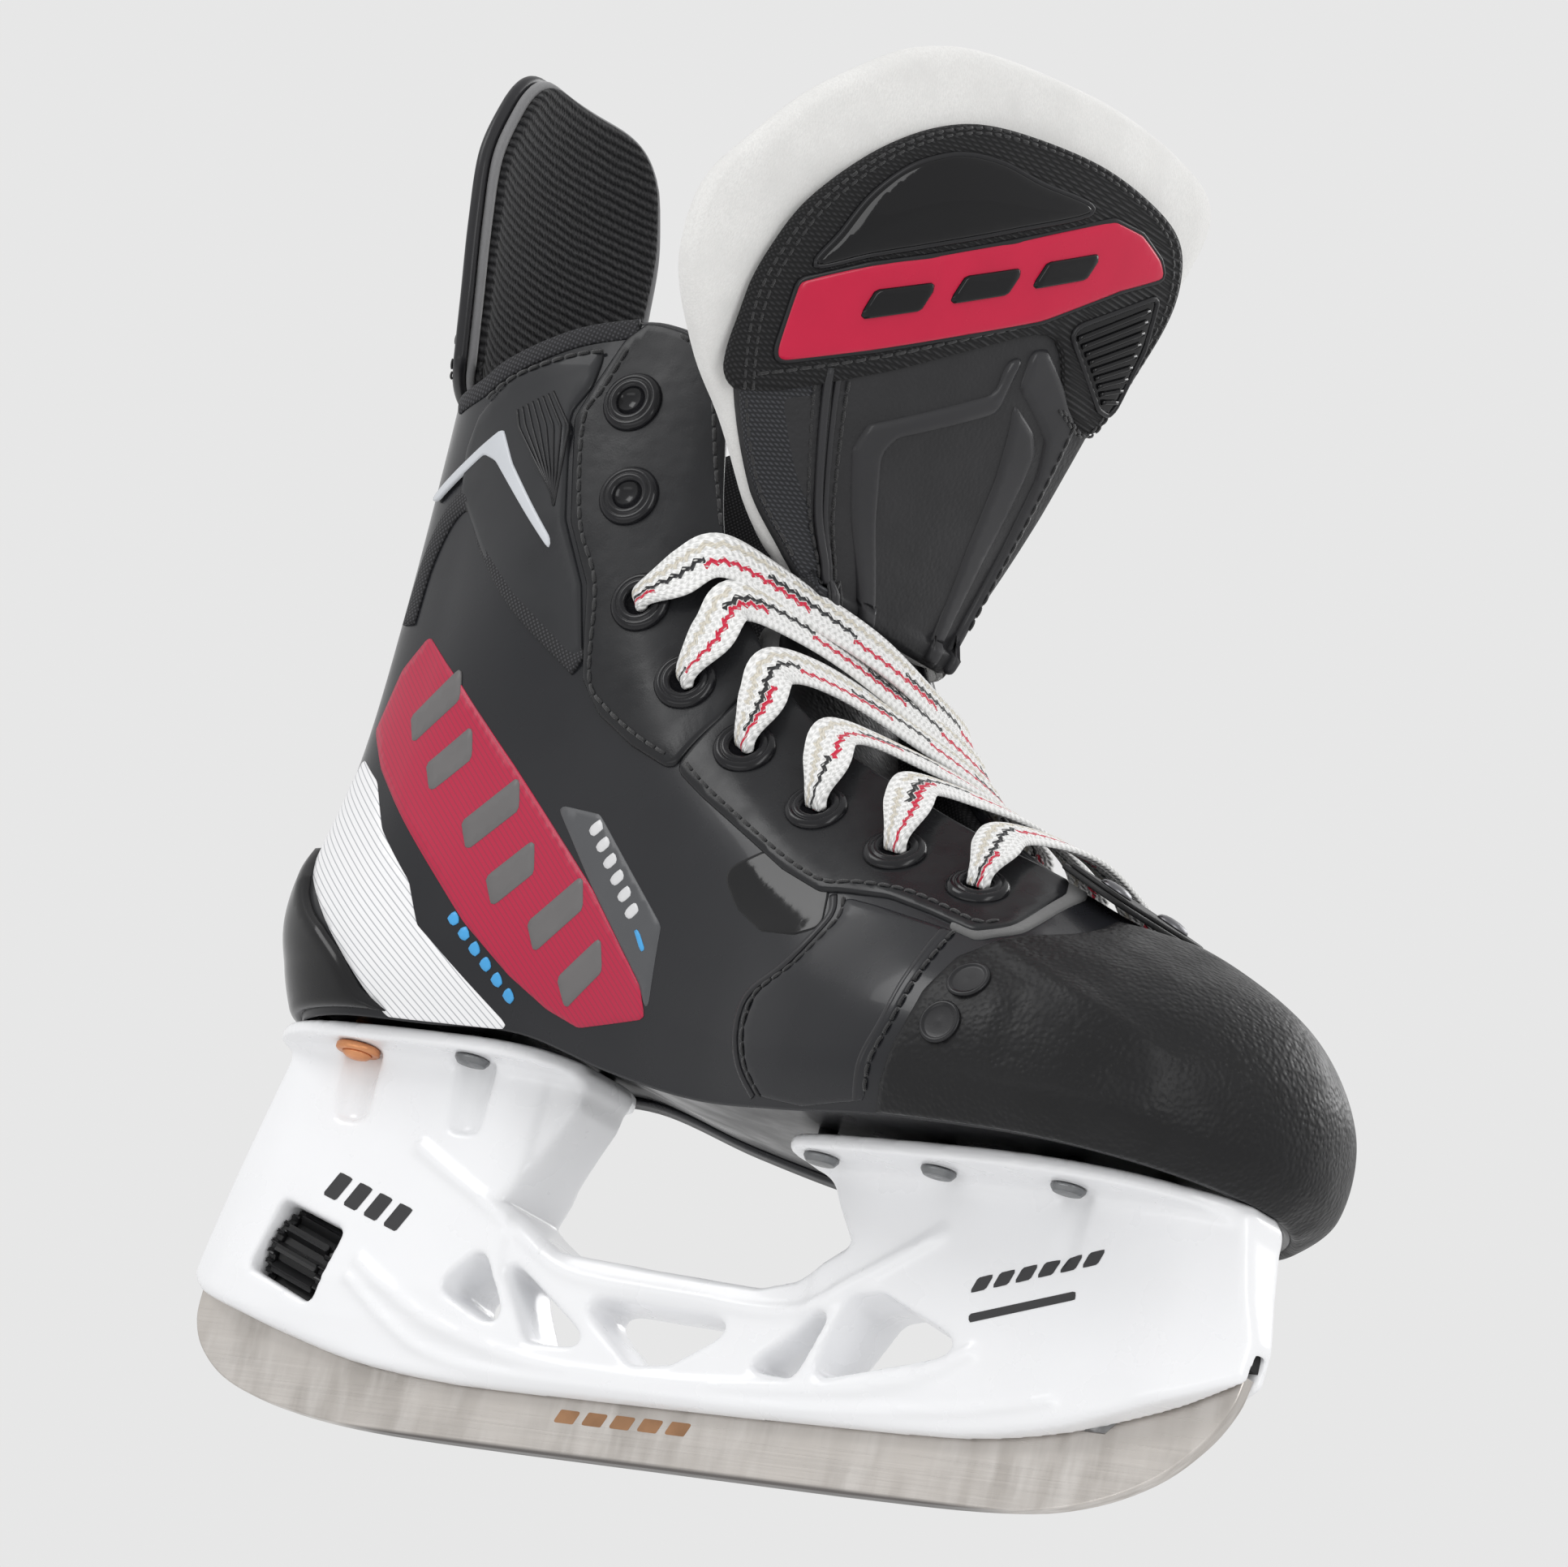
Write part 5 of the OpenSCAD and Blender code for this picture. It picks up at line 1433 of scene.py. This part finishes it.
def net_surface(field, origin, cell):
    """Quads where a 3-D field crosses zero, one vertex in each crossed cell."""
    solid = field < 0
    nx, ny, nz = field.shape
    total = np.zeros((nx - 1, ny - 1, nz - 1, 3))
    count = np.zeros((nx - 1, ny - 1, nz - 1))
    for axis in range(3):
        a = [slice(None)] * 3
        b = [slice(None)] * 3
        a[axis], b[axis] = slice(0, -1), slice(1, None)
        fa, fb = field[tuple(a)], field[tuple(b)]
        crossed = solid[tuple(a)] != solid[tuple(b)]
        t = np.where(crossed, fa / np.where(crossed, fa - fb, 1), 0)
        others = [k for k in range(3) if k != axis]
        for i, j in ((0, 0), (0, 1), (1, 0), (1, 1)):
            pick = [slice(None)] * 3
            for k, shift in zip(others, (i, j)):
                pick[k] = slice(shift, field.shape[k] - 1 + shift)
            pick = tuple(pick)
            hit = crossed[pick]
            place = np.zeros(hit.shape + (3,))
            place[..., axis] = t[pick]
            place[..., others] = i, j
            total += place * hit[..., None]
            count += hit
    used = count > 0
    index = np.full(used.shape, -1)
    index[used] = np.arange(used.sum())
    cells = np.argwhere(used)
    verts = origin + cell * (cells + total[used] / count[used][:, None])
    quads = []
    for axis in range(3):
        a = [slice(1, -1)] * 3
        b = [slice(1, -1)] * 3
        a[axis], b[axis] = slice(0, -1), slice(1, None)
        crossed = solid[tuple(a)] != solid[tuple(b)]
        lead = solid[tuple(a)][crossed]
        first, second = [k for k in range(3) if k != axis]
        at = np.argwhere(crossed) + [0 if k == axis else 1 for k in range(3)]
        corners = []
        for i, j in ((0, 0), (1, 0), (1, 1), (0, 1)):
            c = at.copy()
            c[:, first] -= i
            c[:, second] -= j
            corners.append(index[c[:, 0], c[:, 1], c[:, 2]])
        quad = np.stack(corners, 1)
        forward = lead if axis != 1 else ~lead
        quad[~forward] = quad[~forward][:, ::-1]
        quads.append(quad)
    return verts, np.vstack(quads)


def holder_field(x, y, z):
    """Distance field of the holder, negative in its plastic."""
    side = np.stack(np.meshgrid(x, z, indexing="ij"), -1)
    flat_side = side.reshape(-1, 2)
    shape = side.shape[:2]
    plan = np.stack(np.meshgrid(x, y, indexing="ij"), -1)
    flat_plan = plan.reshape(-1, 2)

    def side_field(points):
        return signed(flat_side, points).reshape(shape)[:, None, :]
    section, across = np.array(WEB_SECTION), smooth_curve(WEB_PLAN, 6)
    width_z = np.interp(z, section[:, 1], section[:, 0])[None, :]
    width_x = np.interp(x, across[:, 0], across[:, 1])[:, None]
    width = soft_min(width_x, width_z, 1.5)
    for line, high, reach in ((UPPER_RIDGE, 1.1, 1.5), (LOWER_RIDGE, 1.0, 1.5), (FOOT_RIDGE, 0.8, 1.1)):
        away = segment_distance(flat_side, smooth_curve(line, 5), closed=False).reshape(shape)
        width = width + high * np.exp(-(away / reach)**2)
    # the towers' faces hollow a little between their ridges
    bridge = np.exp(-((side[..., 0] - 4) / 30)**2) * np.exp(-((side[..., 1] - 24) / 7)**2)
    width = width - 1.0 * bridge
    height = np.abs(y)[None, :, None]
    web = soft_max(side_field(np.vstack([smooth_curve(HOLDER_EDGE, 3), HOLDER_TOP])),
                   (height - width[:, None, :]) * 0.96, 2.0)
    for outline in WINDOWS:
        hole = side_field(rounded(outline, 2.4)) - 0.09 * np.minimum(height, 8)
        web = soft_max(web, -hole, 1.3)

    def flange(half, top):
        line = smooth_curve(half, 4)
        ring = np.vstack([line, line[::-1] * (1, -1)])
        edge = signed(flat_plan, ring).reshape(plan.shape[:2])[:, :, None]
        return soft_max(edge, np.abs(z[None, None, :] - top + FLANGE / 2) - FLANGE / 2, 0.9)
    body = web
    for half, top in ((HEEL_PLAN, HEEL_Z), (TOE_PLAN, TOE_Z)):
        body = soft_min(body, flange(half, top), 3.5)
    for rivets, top in ((HEEL_RIVETS + COPPER_RIVETS, HEEL_Z), (TOE_RIVETS, TOE_Z)):
        under = top - FLANGE
        for px, py in rivets:
            radial = np.hypot(x[:, None] - px, y[None, :] - py)[:, :, None] - 4.9
            pocket = soft_max(radial, z[None, None, :] - under, 0.6)
            pocket = soft_max(pocket, under - 14 - z[None, None, :], 2)
            body = soft_max(body, -pocket, 0.7)
    body = np.maximum(body, (z - HEEL_Z)[None, None, :])
    in_slot = np.maximum(side_field(SLOT), height - RUNNER_THICK / 2 - 0.12)
    body = np.maximum(body, -in_slot)
    # window for the dial, through both sides, and the round room it turns in
    local = side.reshape(-1, 2) - DIAL_AT[[0, 2]]
    local = np.stack([local @ DIAL_AXIS[[0, 2]], local @ DIAL_UP[[0, 2]]], 1)
    frame_line = rounded([(-8, -7), (8, -7.5), (8, 7.5), (-8, 7)], 1.6)
    port = signed(local, frame_line).reshape(shape)[:, None, :] - 0.1 * np.maximum(height - 6, 0)
    body = soft_max(body, -port, 0.8)
    along = local[:, 0].reshape(shape)[:, None, :]
    around = np.hypot(local[:, 1].reshape(shape)[:, None, :], height)
    body = np.maximum(body, -np.maximum(around - 9.1, np.abs(along) - 8))
    return body


def holder_plastic():
    """Glossy white nylon: faint mottling and soft shine."""
    m = Nodes("holder_nylon", (0.83, 0.835, 0.85), 0.28, coat=0.25, coat_roughness=0.12)
    m.vary(0.03, 28).gloss(0.22, 0.36, 14)
    m.bump(m.noise(5.5), 0.1, 0.35)
    m.bump(m.noise(0.7), 0.012, 0.5)
    return m.material


def make_holder():
    x = np.arange(-124, 124.01, CELL)
    y = np.arange(-28.1, 28.2, CELL)
    z = np.arange(8, 76.5, CELL)
    field = holder_field(x, y, z)
    verts, quads = net_surface(field, np.array([x[0], y[0], z[0]]), CELL)
    piece = add_piece("holder_body", (verts, quads.tolist()), holder_plastic(), "holder_white",
                      ("blade_holder",))
    turn_outward(piece, 2)
    ink = Nodes("print_ink", (0.02, 0.02, 0.022), 0.32, coat=0.2)
    ink.vary(0.25, 4).gloss(0.28, 0.4, 5)
    ink.bump(ink.noise(0.5), 0.01, 0.5)
    # two rows of plain slanted bars and a line under the second
    bars = [slanted_bar + (step_x * k, step_z * k) for slanted_bar, step_x, step_z, number in BAR_ROWS
            for k in range(number)]
    bars.append([(62, 34.4), (84, 41), (84.4, 39.4), (62.4, 32.8)])
    parts = []
    for bar in bars:
        line = evenly(rounded(bar, 0.4), 0.7, closed=True)
        _, points, faces = fill_outline(line, 1.2, ())
        for side in (-1, 1):
            at = snap_to_holder(points, side, field, (x, y, z))
            parts.append((at, [f if side < 0 else f[::-1] for f in faces]))
    add_piece("holder_marks", join_parts(parts), ink.material, "black_plastic")


def snap_to_holder(points, side, field, axes):
    """Points on the holder's outer face above flat (x, z) points."""
    x, y, z = axes
    out = []
    for px, pz in points:
        i = (px - x[0]) / CELL
        k = (pz - z[0]) / CELL
        i0, k0 = int(i), int(k)
        s, t = i - i0, k - k0
        column = ((1 - s) * (1 - t) * field[i0, :, k0] + s * (1 - t) * field[i0 + 1, :, k0]
                  + (1 - s) * t * field[i0, :, k0 + 1] + s * t * field[i0 + 1, :, k0 + 1])
        solid = np.nonzero(column < 0)[0]
        j = solid[0] if side < 0 else solid[-1]
        other = j + side
        part = column[j] / (column[j] - column[other])
        out.append((px, y[j] + side * part * CELL + side * 0.07, pz))
    return np.array(out)


# ---------- dial, rivets and pad ----------
DIAL_R, DIAL_LEN = 8.6, 15.0


def make_dial():
    """Thumb dial: twelve double-edged ribs, a toothed disc at each end."""
    across = np.cross(DIAL_AXIS, DIAL_UP)

    def star(inner, outer, teeth, share):
        line = []
        for k in range(teeth):
            for part, r in ((0.0, inner), (share * 0.25, outer), (share * 0.5, outer - 0.25),
                            (share * 0.75, outer), (share, inner)):
                a = (k + part) / teeth * 2 * math.pi
                line.append((r * math.cos(a), r * math.sin(a)))
        return np.array(line)
    end = DIAL_LEN / 2
    body = star(DIAL_R - 1.8, DIAL_R - 0.05, 12, 0.62)
    disc = star(DIAL_R - 1.1, DIAL_R - 0.35, 24, 0.55)
    parts = [prism(line, low, high, 0.22, DIAL_AT, across, -DIAL_UP, DIAL_AXIS)
             for line, low, high in ((body, 1.9 - end, end - 1.9), (disc, -end, 1.8 - end),
                                     (disc, end - 1.8, end))]
    drum = add_piece("dial_drum", join_parts(parts), black_gloss("dial_black", (0.014, 0.014, 0.015), 0.3),
                     "black_plastic", ("lock_dial",), "dial", smooth=False)
    turn_outward(drum)


def metal(name, color, rough):
    m = Nodes(name, color, rough, metallic=1.0)
    m.vary(0.22, 2.5).gloss(rough * 0.8, rough * 1.5, 2.2)
    m.bump(m.noise(0.5), 0.02, 0.5)
    return m.material


def make_rivets():
    head = [(0, -1.4), (2.5, -1.4), (2.75, -1.33), (3.25, -0.7), (3.4, -0.45), (3.4, -0.05), (0, -0.05)]
    dome = [(0, -1.25), (1.2, -1.2), (2.1, -0.95), (2.75, -0.45), (3.0, 0), (0, 0)]
    washer = [(1.85, 0), (4.0, 0), (4.3, 0.3), (4.3, 1.15), (4.0, 1.45), (1.85, 1.45)]
    steel = metal("rivet_gunmetal", (0.2, 0.205, 0.21), 0.28)
    copper = metal("copper", (0.68, 0.31, 0.15), 0.34)
    heel, toe = HEEL_Z - FLANGE, TOE_Z - FLANGE
    # name, node, slot, material, places, level, profile and the shank's length
    for name, node, slot, material, spots, level, profile, shank in (
            ("heads_of_heel_steel_rivets", "heel_steel_rivets", "rivet_steel", steel, HEEL_RIVETS, heel,
             head, FLANGE + 2.6),
            ("heads_of_toe_steel_rivets", "toe_steel_rivets", "rivet_steel", steel, TOE_RIVETS, toe,
             head, FLANGE + 2.6),
            ("copper_heads", "copper_rivets", "copper", copper, COPPER_RIVETS, heel - 1.5, dome, FLANGE + 4),
            ("copper_rings", "copper_washers", "copper", copper, COPPER_RIVETS, heel - 1.5, washer, 0)):
        parts = [revolve(profile, (px, py, level), (0, 0, 1)) for px, py in spots]
        if shank:
            parts += [revolve([(1.8, 0), (1.8, shank), (0, shank)], (px, py, level), (0, 0, 1), 24)
                      for px, py in spots]
        add_piece(name, join_parts(parts), material, slot, (node,))


def make_toe_strip():
    """Layered rubber plate across the front of the throat, with two domed rivets."""
    tilt = math.radians(24)
    along = np.array([math.cos(tilt), 0, -math.sin(tilt)])
    out = np.array([math.sin(tilt), 0, math.cos(tilt)])
    side = np.array([0, 1.0, 0])
    start = np.array([60, 0, 119.0])
    parts = []
    for inset, low, high in ((0, 0.0, 1.1), (0.9, 1.1, 2.0)):
        line = rounded([(inset, -17 + inset), (17 - inset, -17 + inset), (17 - inset, 17 - inset),
                        (inset, 17 - inset)], 4)
        parts.append(prism(evenly(line, 1.2, True), low, high, 0.35, start, along, side, out))
    rubber = pebbled("strip_rubber", (0.02, 0.02, 0.021), 0.6, 0.06, 0.5)
    add_piece("toe_strip_rubber", join_parts(parts), rubber, "rubber", ("toe_strip",))
    dome = [(3.3, 2.0), (3.3, 2.35), (2.9, 2.8), (2.0, 3.15), (0.9, 3.3), (0, 3.32)]
    domes = [revolve(dome, start + along * 10 + side * s * 10, out, 36) for s in (-1, 1)]
    grey = metal("strip_rivet", (0.16, 0.16, 0.17), 0.3)
    add_piece("strip_domes", join_parts(domes), grey, "rivet_steel", ("strip_rivets",))


def dress_cad_parts():
    """Materials for the CAD nodes that stay as they are."""
    rubber = pebbled("pad_rubber", (0.018, 0.018, 0.019), 0.5, 0.05, 0.6)
    steel = metal("bolt_metal", (0.45, 0.44, 0.43), 0.3)
    for node, material in (("front_slot_pad", rubber), ("lock_bolt", steel)):
        obj = bpy.data.objects[node]
        obj.data.materials.clear()
        obj.data.materials.append(material)


make_runner()
make_holder()
make_dial()
make_rivets()
make_toe_strip()
dress_cad_parts()
